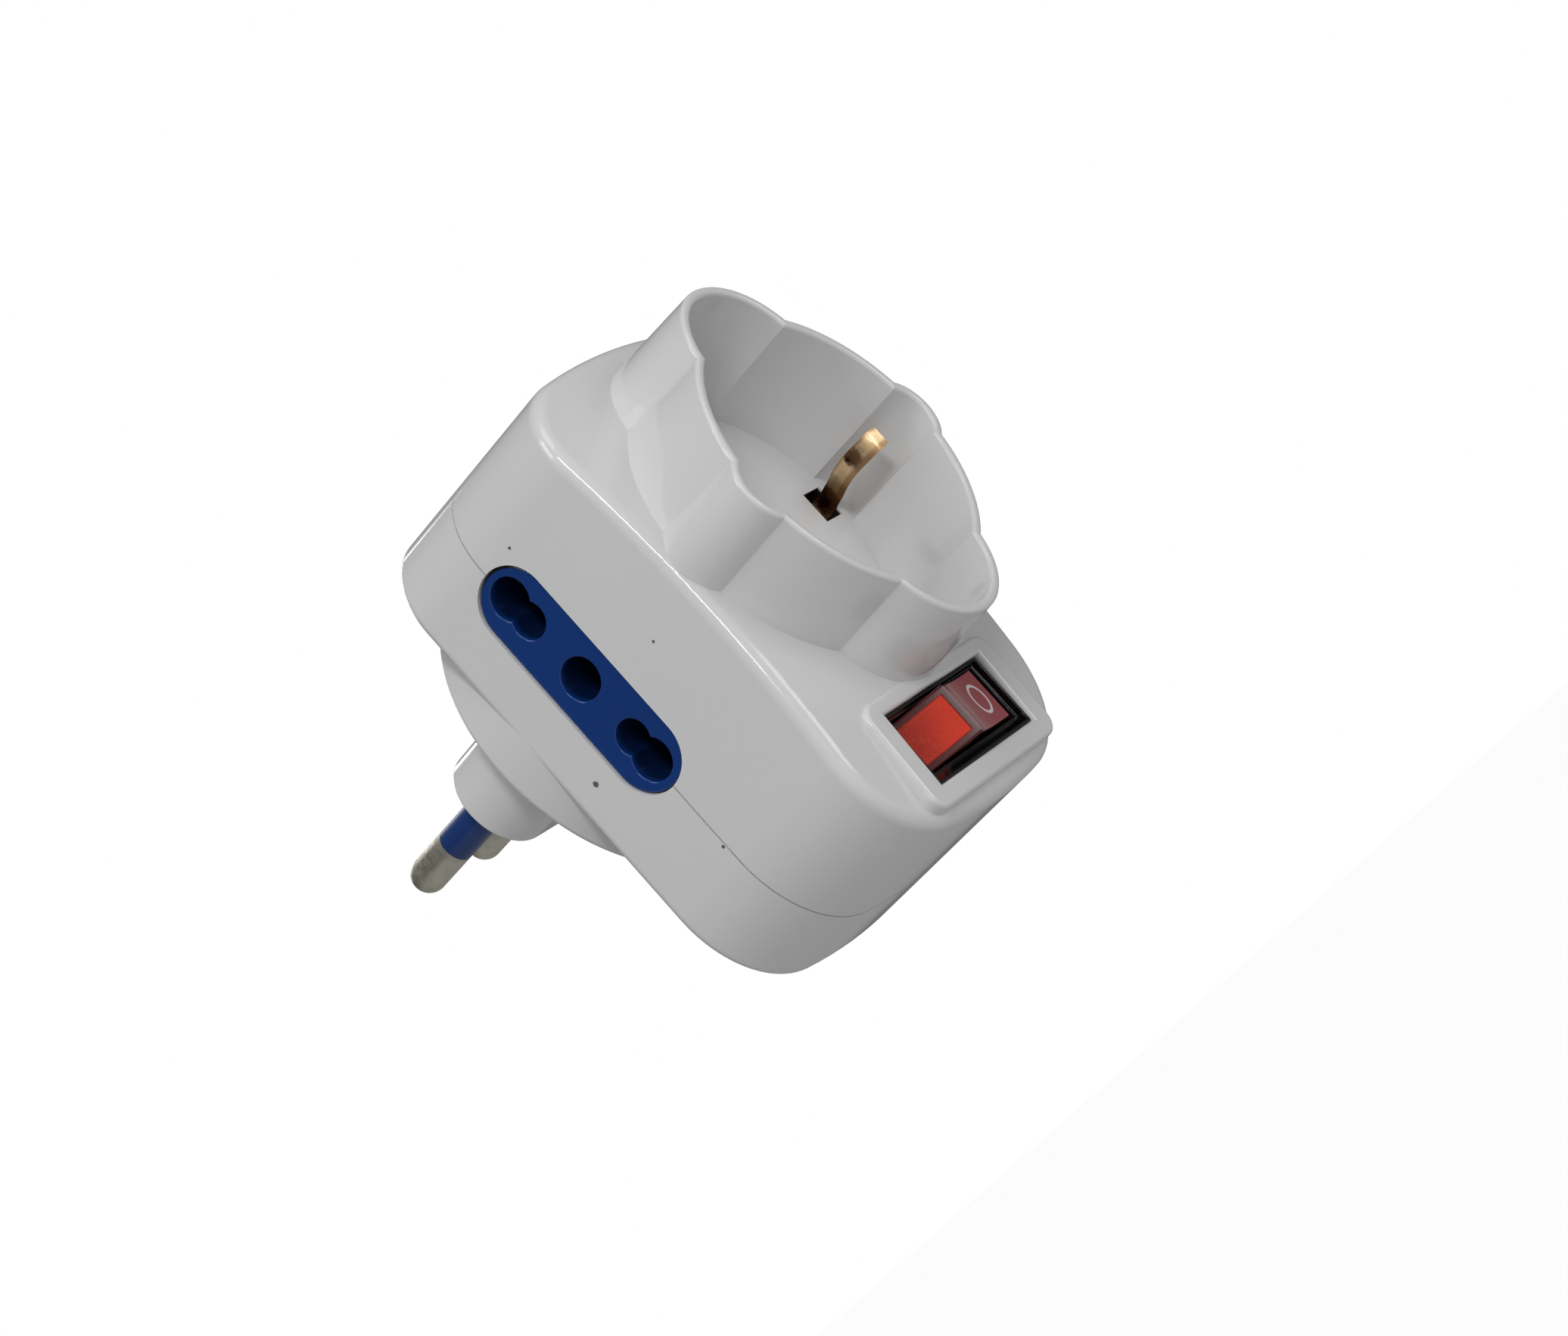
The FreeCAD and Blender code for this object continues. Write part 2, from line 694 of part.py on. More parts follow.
def make_side_insert(label, side):
    """Blue socket plate in one side wall, held by the flange behind it."""
    plate = Body(label)
    middle = -size("parting_depth")

    def at_seam(curves):
        for curve in curves:
            curve.translate(flat(middle, 0))
        return curves

    def add(name, curves, near, far):
        first, second = ("-(%s)" % far, "-(%s)" % near) if side < 0 else (near, far)
        drawing = plate.sketch(curves, SIDE, first)
        plate.feature("Pad", name, drawing, "(%s) - (%s)" % (second, first))

    gap = size("insert_gap")
    margin = size("flange_margin")
    length, radius = size("insert_half_length"), size("insert_radius")
    wall_inner = "half_width - case_wall - part_gap"
    add("plate", at_seam(stadium(length - gap, radius - gap)),
        wall_inner + " - insert_flange", "half_width - insert_recess")
    add("flange", at_seam(stadium(length + margin, radius + margin)), wall_inner + " - insert_flange", wall_inner)
    add("guide", at_seam(stadium(length - 0.5, radius - 0.5)),
        wall_inner + " - insert_flange - guide_length", wall_inner)
    holes = figure_eight_holes(lambda across, along: (middle + across, along))
    plate.slab("holes", holes, SIDE, "0", "2 * half_width + 2", cut=True)
    face = side * size("half_width - insert_recess")

    def front_edge(edge):
        box = edge.BoundBox
        return abs(box.XMin - face) < 0.01 and abs(box.XMax - face) < 0.01

    plate.round("edge_round", "insert_round", front_edge)
    return plate


def make_pin(label, x, insulated, tail_end):
    """Round plug pin with a domed end, a collar inside the boss and a tail for its connection."""
    tip = "-(pin_length - pin_radius)"
    parts = [ball(label + "_end", "pin_radius", x, tip, "0")]
    if insulated:
        parts.append(rod(label + "_tip", "depth", "pin_radius", tip, "-sleeve_length", x, "0"))
        parts.append(rod(label + "_neck", "depth", "pin_neck", "-sleeve_length", "sleeve_root", x, "0"))
        parts.append(rod(label + "_root", "depth", "pin_root", "sleeve_root", "pin_seat", x, "0"))
    else:
        parts.append(rod(label + "_shank", "depth", "pin_radius", tip, "0", x, "0"))
        parts.append(rod(label + "_root", "depth", "pin_root", "0", "pin_seat", x, "0"))
    collar_start = "pin_seat + part_gap"
    parts.append(rod(label + "_step", "depth", "pin_radius - 0.4", "pin_seat", collar_start, x, "0"))
    collar_end = collar_start + " + pin_collar_height"
    parts.append(rod(label + "_collar", "depth", "pin_collar", collar_start, collar_end, x, "0"))
    parts.append(rod(label + "_tail", "depth", "pin_tail", collar_end, tail_end, x, "0"))
    return keep(joined(label + "_turned", parts), label)


def make_pin_sleeve(label, x):
    """Blue insulating sleeve round the neck of a live pin."""
    outer = rod(label + "_outer", "depth", "pin_radius", "-sleeve_length + part_gap / 2", "0", x, "0")
    root = rod(label + "_root", "depth", "pin_root", "0", "sleeve_root - part_gap / 2", x, "0")
    inner = rod(label + "_inner", "depth", "pin_neck + slide_fit", "-sleeve_length - 1",
                "sleeve_root + 1", x, "0")
    return keep(without(label + "_tube", joined(label + "_stepped", [outer, root]), inner), label)


def make_contact_bar(label, z, half_width):
    """Folded strip with a fork for each side socket and one for the front socket."""
    low, high = "(%s) - %s" % (z, half_width), "(%s) + %s" % (z, half_width)
    near = "parting_depth - contact_gap - strip"
    far = "parting_depth + contact_gap"
    parts = []
    for index, sign in enumerate((1, -1)):
        def across(first, second):
            return (first, second) if sign > 0 else ("-(%s)" % second, "-(%s)" % first)
        leaf = across("contact_inner", "contact_outer")
        parts.append(block("%s_near_%d" % (label, index), *leaf, near, near + " + strip", low, high))
        parts.append(block("%s_far_%d" % (label, index), *leaf, far, far + " + strip", low, high))
        web = across("contact_inner", "contact_inner + strip")
        parts.append(block("%s_web_%d" % (label, index), *web, near, far + " + strip", low, high))
        fork = across("contact_gap", "contact_gap + strip")
        parts.append(block("%s_fork_%d" % (label, index), *fork, far, "front_contact_end", low, high))
    parts.append(block(label + "_strap", "-contact_inner - strip", "contact_inner + strip",
                       far, far + " + strip", low, high))
    return keep(joined(label + "_folded", parts), label)


def make_earth_clips():
    """Folded brass strap behind the recess floor whose two ends rise as side earth clips."""
    strap = Body("earth_clips")
    top = "%s - part_gap" % FLOOR_BACK
    bottom = top + " - clip_strip"
    root, waist, tip = size("clip_root"), size("clip_waist"), size("clip_tip")
    strip = size("clip_strip")
    start, knee = size(bottom), size("recess_floor + 1")
    bend, end = size("clip_bend_depth"), size("clip_end_depth")
    strap.pad("bar", rectangle(-root, root, -size("clip_half_width") - 0.6, size("clip_half_width") + 0.6),
              bottom, top)
    strap.pad("ring", circle(0, 0, size("socket_hole") + 2.0), bottom, top)
    strap.pocket("pin_hole", circle(0, 0, size("socket_hole") + 0.4), bottom + " - 1", top + " + 1")
    outer = ((root, start), (root, knee), (waist, bend), (tip, end))
    inner = ((tip - strip * 0.8, end + strip * 0.4), (waist - strip, bend + strip * 0.1),
             (root - strip, knee), (root - strip, start))
    for name, side in (("right", 1), ("left", -1)):
        points = [(side * x, -depth) for x, depth in outer + inner]
        strap.slab("arm_" + name, polygon(points), LEVEL, "clip_offset", "2 * clip_half_width")
    return strap


def make_contact_carrier():
    """Moulded tray that stands in the rear shell and keeps the three contact bars apart."""
    top = "carrier_depth + carrier_thickness"
    parts = [block("carrier_plate", "-carrier_half_width", "carrier_half_width", "carrier_depth", top,
                   "-carrier_half_height", "carrier_half_height")]
    for index, sign in enumerate(("", "-")):
        low = "%sbarrier_offset - barrier_thickness / 2" % sign
        parts.append(block("carrier_barrier_%d" % index, "-carrier_half_width + 1", "carrier_half_width - 1",
                           top, "%s - part_gap" % FLOOR_BACK, low, low + " + barrier_thickness"))
        for other, turn in enumerate(("", "-")):
            parts.append(rod("carrier_leg_%d_%d" % (index, other), "depth", "leg_radius",
                             "disc_depth + case_wall + part_gap", "carrier_depth + part_gap",
                             sign + "leg_offset", turn + "leg_offset"))
    solid = joined("carrier_solid", parts)
    hole = rod("carrier_hole", "depth", "pin_tail + 0.4", "carrier_depth - 1", top + " + 1", "0", "0")
    return keep(without("carrier_moulding", solid, hole), "contact_carrier")


def switch_z(text):
    """Return a height measured from the switch's middle."""
    return "-switch_drop + (%s)" % text


def make_switch_frame():
    """Black switch body with ears behind the housing wall, trunnion holes and terminal slots."""
    frame = Body("switch_frame")
    middle = -size("switch_drop")
    half_x = size("opening_half_width - frame_gap")
    half_z = size("opening_half_height - frame_gap")
    wall = size("frame_wall")

    def centred(x, z):
        return rectangle(-x, x, middle - z, middle + z)

    ear_top = "switch_ceiling - part_gap"
    frame.pad("body", centred(half_x, half_z), "frame_back", "frame_front")
    frame.pad("ears", centred(size("ear_half_width"), half_z), ear_top + " - ear_thickness", ear_top)
    frame.pocket("hollow", centred(half_x - wall, half_z - wall), "frame_back + frame_wall", "frame_front + 1")
    slots = []
    for x in terminal_places():
        half = size("terminal_thickness") / 2 + size("slide_fit")
        width = size("terminal_half_width + slide_fit")
        slots += rectangle(size(x) - half, size(x) + half, middle - width, middle + width)
    frame.pocket("terminal_slots", slots, "frame_back - 1", "frame_back + frame_wall + 1")
    hole = circle(0, -size("pivot_depth"), size("trunnion + slide_fit"))
    frame.slab("trunnion_holes", hole, LEVEL, switch_z("0"), "2 * opening_half_height", cut=True)
    return frame


def terminal_places():
    """Return where the lamp, common and load terminals stand across the switch."""
    return ("-blade_half_length - 2", "0", "blade_half_length - 0.8")


def make_rocker():
    """Translucent rocker: a flat and a hollowed face that meet in a ridge, on two trunnions."""
    rocker = Body("rocker")
    pivot = size("pivot_depth")
    length, height = size("rocker_half_length"), size("rocker_height")
    fall = length * math.tan(math.radians(size("rocker_slope")))
    skirt, wall = size("rocker_skirt"), size("rocker_wall")
    dip = size("rocker_dip")
    inner = length - wall
    top = height - wall * 1.1
    end = top - fall * inner / length
    hollow = ((0, top), (inner / 2, (top + end) / 2 - dip), (inner, end), (inner, -skirt - 1),
              (-inner, -skirt - 1), (-inner, end))

    def placed(x, rise):
        return flat(x, -pivot - rise)

    corners = ((length, height - fall), (length, -skirt), (-length, -skirt), (-length, height - fall), (0, height))
    faces = [Part.LineSegment(placed(*a), placed(*b)) for a, b in zip(corners, corners[1:])]
    faces.append(Part.Arc(placed(0, height), placed(length / 2, height - fall / 2 - dip), placed(length, height - fall)))
    inside = polygon([(x, -pivot - rise) for x, rise in hollow])
    rocker.slab("faces", faces, LEVEL, switch_z("0"), "2 * rocker_half_width")
    rocker.slab("hollow", inside, LEVEL, switch_z("0"), "2 * (rocker_half_width - rocker_wall)", cut=True)
    rocker.slab("trunnions", circle(0, -pivot, size("trunnion")), LEVEL, switch_z("0"),
                "2 * (opening_half_height - frame_gap)")
    rocker.pad("plunger_guide", circle(0, -size("switch_drop"), size("plunger_radius") + 1.0),
               "pivot_depth - 3", "pivot_depth + rocker_height - rocker_wall - 0.4")
    rocker.pocket("plunger_bore", circle(0, -size("switch_drop"), size("plunger_radius + slide_fit")),
                  "pivot_depth - 4", "pivot_depth + 3")
    turn_about_pivot(rocker.body)
    return rocker


def turn_about_pivot(item):
    """Tilt a piece about the rocker's trunnions, with the half at -X pressed in."""
    pivot = Vector(0, -size("pivot_depth"), -size("switch_drop"))
    item.Placement = Placement(Vector(), Rotation(Vector(0, 0, 1), -size("rocker_tilt")), pivot)


def make_plunger():
    """Sprung plunger in the rocker's guide, whose round end runs along the contact blade."""
    plunger = Body("plunger")
    middle = -size("switch_drop")
    radius = size("plunger_radius")
    reach = size("pivot_depth - plunger_reach")
    root = size("pivot_depth") + 0.5
    half_round = [Part.Arc(flat(-(reach + radius), radius), flat(-(reach + radius * (1 - math.sqrt(0.5))),
                                                                 radius * math.sqrt(0.5)), flat(-reach, 0))]
    corners = (flat(-reach, 0), flat(-root, 0), flat(-root, radius), flat(-(reach + radius), radius))
    profile = half_round + [Part.LineSegment(a, b) for a, b in zip(corners, corners[1:])]
    drawing = plunger.sketch(profile, SIDE)
    drawing.setExpression("AttachmentOffset.Base.y", linked("-switch_drop"))
    turned = plunger.body.newObject("PartDesign::Revolution", "plunger_turned")
    turned.Profile = drawing
    turned.ReferenceAxis = (drawing, ["H_Axis"])
    turned.Angle = 360
    DOC.recompute()
    if abs(plunger.body.Shape.BoundBox.Center.z - middle) > 0.01:
        raise RuntimeError("the plunger is off its axis")
    turn_about_pivot(plunger.body)
    return plunger


def make_contact_blade():
    """Rocking blade that stands on the common terminal."""
    blade = Body("contact_blade")
    half, thick = size("blade_half_length"), size("blade_thickness") / 2
    depth = size("blade_depth")
    profile = rectangle(-half, half, -depth - thick, -depth + thick)
    blade.slab("blade", profile, LEVEL, switch_z("0"), "2 * blade_half_width")
    pivot = Vector(0, -depth, -size("switch_drop"))
    blade.body.Placement = Placement(Vector(), Rotation(Vector(0, 0, 1), size("blade_tilt")), pivot)
    return blade


def make_terminals():
    """Three flat terminals: for the lamp, the common one that carries the blade, and the load."""
    tops = (
        "pivot_depth - 3.2",
        "blade_depth - blade_thickness / 2 - part_gap",
        "blade_depth - blade_thickness / 2 - 0.9",
    )
    names = ("lamp_terminal", "common_terminal", "load_terminal")
    for name, x, top in zip(names, terminal_places(), tops):
        half = "terminal_thickness / 2"
        tab = block(name + "_tab", "%s - %s" % (x, half), "%s + %s" % (x, half), "terminal_end", top,
                    switch_z("-terminal_half_width"), switch_z("terminal_half_width"))
        shoulder = block(name + "_shoulder", "%s - %s" % (x, half), "%s + %s" % (x, half),
                         "frame_back + frame_wall + part_gap / 2", "frame_back + frame_wall + 0.8",
                         switch_z("-terminal_half_width - 0.6"), switch_z("terminal_half_width + 0.6"))
        keep(joined(name + "_stamped", [tab, shoulder]), name)


def make_lamp():
    """Small glow lamp that lies under the lit half of the rocker."""
    depth = "pivot_depth - 4.4"
    start = "-blade_half_length - 1.3"
    tube = rod("lamp_tube", "x", "lamp_radius", start, "-3.4 - lamp_radius", depth, switch_z("0"))
    end = ball("lamp_end", "lamp_radius", "-3.4 - lamp_radius", depth, switch_z("0"))
    keep(joined("lamp_glass", [tube, end]), "indicator_lamp")


def make_screws():
    """Four equal case screws, put in from the back."""
    screws = []
    for index, (x, z) in enumerate(screw_places()):
        head = rod("screw_%d_head" % index, "depth", "screw_head", "screw_seat - screw_head_height - part_gap",
                   "screw_seat - part_gap", x, z)
        shank = rod("screw_%d_shank" % index, "depth", "screw_radius", "screw_seat - part_gap", "screw_end", x, z)
        screws.append(joined("screw_%d" % index, [head, shank]))
    group = DOC.addObject("Part::Compound", "screw_group")
    group.Links = screws
    keep(group, "case_screws")


def build():
    """Make every piece, check it and write it out."""
    make_front_shell()
    make_rear_shell()
    make_side_insert("side_insert_left", -1)
    make_side_insert("side_insert_right", 1)
    make_pin("line_pin", "-pin_pitch", True, "pin_seat + pin_collar_height + tail_length")
    make_pin("earth_pin", "0", False, "parting_depth + contact_gap - 0.3")
    make_pin("neutral_pin", "pin_pitch", True, "pin_seat + pin_collar_height + tail_length")
    make_pin_sleeve("line_pin_sleeve", "-pin_pitch")
    make_pin_sleeve("neutral_pin_sleeve", "pin_pitch")
    make_contact_bar("line_bar", "live_offset", "live_half_width")
    make_contact_bar("neutral_bar", "-live_offset", "live_half_width")
    make_contact_bar("earth_bar", "0", "earth_half_width")
    make_earth_clips()
    make_contact_carrier()
    make_switch_frame()
    make_rocker()
    make_plunger()
    make_contact_blade()
    make_terminals()
    make_lamp()
    make_screws()
    DOC.recompute()

    for item in DOC.Objects:
        if "Invalid" in item.State or "Error" in item.State:
            raise RuntimeError("%s failed: %s" % (item.Name, item.State))
    os.makedirs("parts", exist_ok=True)
    for piece in PIECES:
        shape = piece.Shape
        if shape.isNull() or not shape.isValid() or not shape.Solids:
            raise RuntimeError("%s has no valid solid" % piece.Label)
    for piece in PIECES:
        piece.Shape.exportStep("parts/%s.step" % piece.Label)
        print("%-20s %d solid(s) %9.1f mm3" % (piece.Label, len(piece.Shape.Solids), piece.Shape.Volume))


build()
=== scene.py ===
"""Looks of a switched plug adapter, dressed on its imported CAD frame.

The part is a white wall adapter: three round pins in line behind, a scalloped earthed socket in
front, a blue two-pitch socket in each side, and a red rocker switch at the lower end. Its CAD
nodes keep their shapes and get procedural materials here, and the pieces that carry fine surface
detail are added on the body that they move with.

Frame: metres, +Z up, -Y towards the user, the plug pins along +Y.
"""

from __future__ import annotations

import json
import logging
import math
from dataclasses import dataclass, field
from enum import Enum
from typing import Sequence

import bmesh
import bpy
from mathutils import Matrix, Vector

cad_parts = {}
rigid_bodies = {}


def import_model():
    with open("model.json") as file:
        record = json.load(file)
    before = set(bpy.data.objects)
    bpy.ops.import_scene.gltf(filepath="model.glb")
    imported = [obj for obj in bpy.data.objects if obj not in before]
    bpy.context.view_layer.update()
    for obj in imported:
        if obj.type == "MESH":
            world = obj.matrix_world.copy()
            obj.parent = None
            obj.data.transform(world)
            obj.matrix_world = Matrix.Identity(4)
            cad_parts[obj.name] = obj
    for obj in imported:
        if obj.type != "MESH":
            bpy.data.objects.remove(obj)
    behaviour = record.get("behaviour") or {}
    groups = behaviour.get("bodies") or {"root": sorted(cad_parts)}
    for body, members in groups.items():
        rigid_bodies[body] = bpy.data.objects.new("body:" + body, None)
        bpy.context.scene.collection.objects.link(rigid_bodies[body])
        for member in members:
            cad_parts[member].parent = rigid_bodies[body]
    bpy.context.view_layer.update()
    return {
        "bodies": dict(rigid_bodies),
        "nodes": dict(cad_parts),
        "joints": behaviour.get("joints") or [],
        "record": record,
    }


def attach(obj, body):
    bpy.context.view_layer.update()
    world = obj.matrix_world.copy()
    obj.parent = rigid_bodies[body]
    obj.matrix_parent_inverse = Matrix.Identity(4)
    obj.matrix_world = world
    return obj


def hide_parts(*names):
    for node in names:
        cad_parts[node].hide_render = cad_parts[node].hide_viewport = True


LOG = logging.getLogger("plug_adapter")
MM = 0.001
MERGE = 1e-6  # metres below which two corners are one
PATCHES = (0.2, 0.8)  # the noise values between which one patch fades into the next
SPOT_NOISE = 2600.0  # features to a metre in a spot's ragged edge
SPOT_EDGE = 1.1  # how far a spot's soft edge reaches, as a share of its radius

Colour = tuple[float, float, float]
Point = tuple[float, float, float]


def srgb(red: int, green: int, blue: int) -> Colour:
    """Turn a display colour into the linear one that shaders take.

    Args:
        red, green, blue: Channel values from 0 to 255.

    Returns:
        The three linear values.
    """

    def linear(channel: int) -> float:
        """Return one channel's linear value, by the sRGB standard's curve."""
        share = channel / 255
        return share / 12.92 if share <= 0.04045 else ((share + 0.055) / 1.055) ** 2.4

    return linear(red), linear(green), linear(blue)


class Body(str, Enum):
    """The CAD bodies that the added pieces ride on."""

    HOUSING = "housing"
    ROCKER = "rocker"


class Slot(str, Enum):
    """The material slots of the CAD record."""

    SHELL = "white_shell"
    INSERT = "blue_insert"
    PIN = "pin_metal"
    SLEEVE = "blue_sleeve"
    CONTACT = "contact_brass"
    CARRIER = "carrier_plastic"
    BLACK = "black_plastic"
    RED = "red_plastic"
    PLUNGER = "plunger_plastic"
    LAMP = "lamp_glass"
    STEEL = "screw_steel"


# Material graphs


class Wire:
    """A value that travels through a material: a node's output with arithmetic on it."""

    def __init__(self, graph: Graph, socket: bpy.types.NodeSocket) -> None:
        """Hold one output of a graph."""
        self.graph = graph
        self.socket = socket

    def _math(self, operation: str, other: Wire | float, swap: bool = False) -> Wire:
        """Return one step with another value, which comes first if swap is set."""
        first, second = (other, self) if swap else (self, other)
        return self.graph.math(operation, first, second)

    def __add__(self, other: Wire | float) -> Wire:
        """Return this value plus another."""
        return self._math("ADD", other)

    def __radd__(self, other: float) -> Wire:
        """Return another value plus this one."""
        return self._math("ADD", other)

    def __sub__(self, other: Wire | float) -> Wire:
        """Return this value less another."""
        return self._math("SUBTRACT", other)

    def __rsub__(self, other: float) -> Wire:
        """Return another value less this one."""
        return self._math("SUBTRACT", other, swap=True)

    def __mul__(self, other: Wire | float) -> Wire:
        """Return this value times another."""
        return self._math("MULTIPLY", other)

    def __rmul__(self, other: float) -> Wire:
        """Return another value times this one."""
        return self._math("MULTIPLY", other)


class Graph:
    """One material's node graph, written from its values to its shader."""

    def __init__(self, name: str, origin: Point = (0.0, 0.0, 0.0), turn: float = 0.0) -> None:
        """Start an empty material.

        Args:
            name: The material's name.
            origin: The place on the object that the pattern starts from.
            turn: The pattern's turn about Z, in radians.
        """
        self.origin = origin
        self.turn = turn
        self.material = bpy.data.materials.new(name)
        self.material.use_nodes = True
        self.tree = self.material.node_tree
        self.tree.nodes.clear()
        self._place: Wire | None = None

    def node(self, kind: str, inputs: dict | None = None, **settings: object) -> bpy.types.Node:
        """Add one node.

        Args:
            kind: The node's Blender type.
            inputs: Values or wires by input name or number.
            settings: Properties of the node.

        Returns:
            The new node.
        """
        made = self.tree.nodes.new(kind)
        for key, value in settings.items():
            setattr(made, key, value)
        for key, value in (inputs or {}).items():
            self.feed(made.inputs[key], value)
        return made

    def feed(self, socket: bpy.types.NodeSocket, value: object) -> None:
        """Give an input its wire, or its plain value.

        Args:
            socket: The input.
            value: A wire, a colour or a plain value.
        """
        if isinstance(value, Wire):
            self.tree.links.new(value.socket, socket)
        elif isinstance(value, (tuple, list)) and len(value) == 3 and socket.type == "RGBA":
            socket.default_value = (*value, 1.0)
        else:
            socket.default_value = value

    def math(self, operation: str, first: Wire | float, second: Wire | float = 0.0) -> Wire:
        """Return one arithmetic step on two values."""
        made = self.node("ShaderNodeMath", {0: first, 1: second}, operation=operation)
        return Wire(self, made.outputs[0])

    def place(self) -> Wire:
        """Find the place on the object, from the pattern's origin and turned with it.

        Returns:
            The place in metres.
        """
        if self._place is None:
            self._place = Wire(self, self.node("ShaderNodeTexCoord").outputs["Object"])
            if self.turn or any(self.origin):
                turn = (0.0, 0.0, self.turn)
                centred = {"Vector": self._place, "Location": self.origin, "Rotation": turn}
                made = self.node("ShaderNodeMapping", centred, vector_type="TEXTURE")
                self._place = Wire(self, made.outputs[0])
        return self._place

    def axes(self) -> tuple[Wire, Wire, Wire]:
        """Return the place's three coordinates."""
        made = self.node("ShaderNodeSeparateXYZ", {0: self.place()})
        return Wire(self, made.outputs[0]), Wire(self, made.outputs[1]), Wire(self, made.outputs[2])

    def length(self, first: Wire, second: Wire) -> Wire:
        """Return the length of a flat vector."""
        return self.math("SQRT", first * first + second * second)

    def stretched(self, scale: Point) -> Wire:
        """Return the place on the object, scaled along each axis."""
        made = self.node("ShaderNodeMapping", {"Vector": self.place(), "Scale": scale})
        return Wire(self, made.outputs[0])

    def noise(
        self, scale: float, detail: float = 3.0, rough: float = 0.5, at: Wire | None = None
    ) -> Wire:
        """Add soft noise.

        Args:
            scale: Features to a metre.
            detail: How many finer layers it has.
            rough: How strong each finer layer is.
            at: The place to read it at, or None for the place on the object.

        Returns:
            Values from 0 to 1.
        """
        made = self.node(
            "ShaderNodeTexNoise",
            {"Vector": at or self.place(), "Scale": scale, "Detail": detail, "Roughness": rough},
        )
        return Wire(self, made.outputs["Fac"])

    def ramp(
        self, value: Wire, low: float, high: float, start: float = 0.0, end: float = 1.0
    ) -> Wire:
        """Carry a value smoothly from one span onto another.

        Args:
            value: The value.
            low, high: The span that it is read on.
            start, end: What it becomes at the span's ends and past them.

        Returns:
            The value on its new span.
        """
        made = self.node(
            "ShaderNodeMapRange",
            {"Value": value, "From Min": low, "From Max": high, "To Min": start, "To Max": end},
            interpolation_type="SMOOTHSTEP",
        )
        return Wire(self, made.outputs[0])

    def distance(self, point: Point) -> Wire:
        """Return the distance from a point of the object, in metres."""
        made = self.node("ShaderNodeVectorMath", {0: self.place(), 1: point}, operation="DISTANCE")
        return Wire(self, made.outputs["Value"])

    def spots(
        self, points: Sequence[tuple[Point, float]], ragged: float = 0.35, core: float = 0.75
    ) -> Wire:
        """Return a mask of small uneven spots.

        Args:
            points: Each spot's middle and radius, in metres.
            ragged: How far the noise moves a spot's edge, as a share of its radius.
            core: The share of its radius within which a spot is full.

        Returns:
            A mask that is 1 inside the spots.
        """
        wobble = self.noise(SPOT_NOISE, 2.0)
        total: Wire | None = None
        for point, radius in points:
            edge = self.distance(point) + (wobble - 0.5) * (radius * ragged * 2)
            mask = self.ramp(edge, radius * core, radius * SPOT_EDGE, 1.0, 0.0)
            total = mask if total is None else self.math("MAXIMUM", total, mask)
        return total

    def mix(self, share: Wire | float, first: Wire | Colour, second: Wire | Colour) -> Wire:
        """Blend two colours.

        Args:
            share: The second colour's share.
            first, second: The colours.

        Returns:
            The blend.
        """
        made = self.node("ShaderNodeMix", data_type="RGBA")
        self.feed(made.inputs[0], share)
        self.feed(made.inputs[6], first)
        self.feed(made.inputs[7], second)
        return Wire(self, made.outputs[2])

    def bump(self, height: Wire, depth: float, strength: float = 1.0) -> Wire:
        """Return a normal from a height.

        Args:
            height: The relief, from 0 to 1.
            depth: The relief's depth in metres.
            strength: How much of it shows.

        Returns:
            The normal.
        """
        made = self.node("ShaderNodeBump", {"Height": height, "Distance": depth, "Strength": strength})
        return Wire(self, made.outputs[0])

    def finish(self, **inputs: object) -> bpy.types.Material:
        """End the graph in one surface shader.

        Args:
            inputs: The shader's inputs, with underscores for spaces.

        Returns:
            The material.
        """
        named = {key.replace("_", " "): value for key, value in inputs.items()}
        shader = self.node("ShaderNodeBsdfPrincipled", named)
        self.close(Wire(self, shader.outputs[0]))
        return self.material

    def close(self, surface: Wire) -> None:
        """Join a shader to the material's output."""
        self.node("ShaderNodeOutputMaterial", {"Surface": surface})


# Finishes


@dataclass(frozen=True)
class Plastic:
    """A moulded plastic: its colour, its gloss and the fine orange peel of the mould."""

    name: str
    colour: Colour
    shade: Colour
    roughness: float = 0.3
    patch_scale: float = 30.0
    peel: float = 8e-7
    peel_scale: float = 700.0
    gloss_swing: tuple[float, float] = (0.92, 1.08)
    refraction: float = 1.49

    def marks(self, graph: Graph, colour: Wire) -> Wire:
        """Return the colour with the marks of use on it, of which a plain plastic has none."""
        return colour

    def material(self) -> bpy.types.Material:
        """Make the finish.

        Returns:
            The material, its colour and its gloss in soft patches.
        """
        graph = Graph(self.name)
        patches = graph.noise(self.patch_scale, 1.0, 0.4)
        colour = graph.mix(graph.ramp(patches, *PATCHES), self.colour, self.shade)
        glossy, dull = (self.roughness * share for share in self.gloss_swing)
        rough = graph.ramp(graph.noise(self.patch_scale * 2, 1.0), *PATCHES, glossy, dull)
        return graph.finish(
            Base_Color=self.marks(graph, colour),
            Roughness=rough,
            IOR=self.refraction,
            Normal=graph.bump(graph.noise(self.peel_scale, 1.0), self.peel),
        )


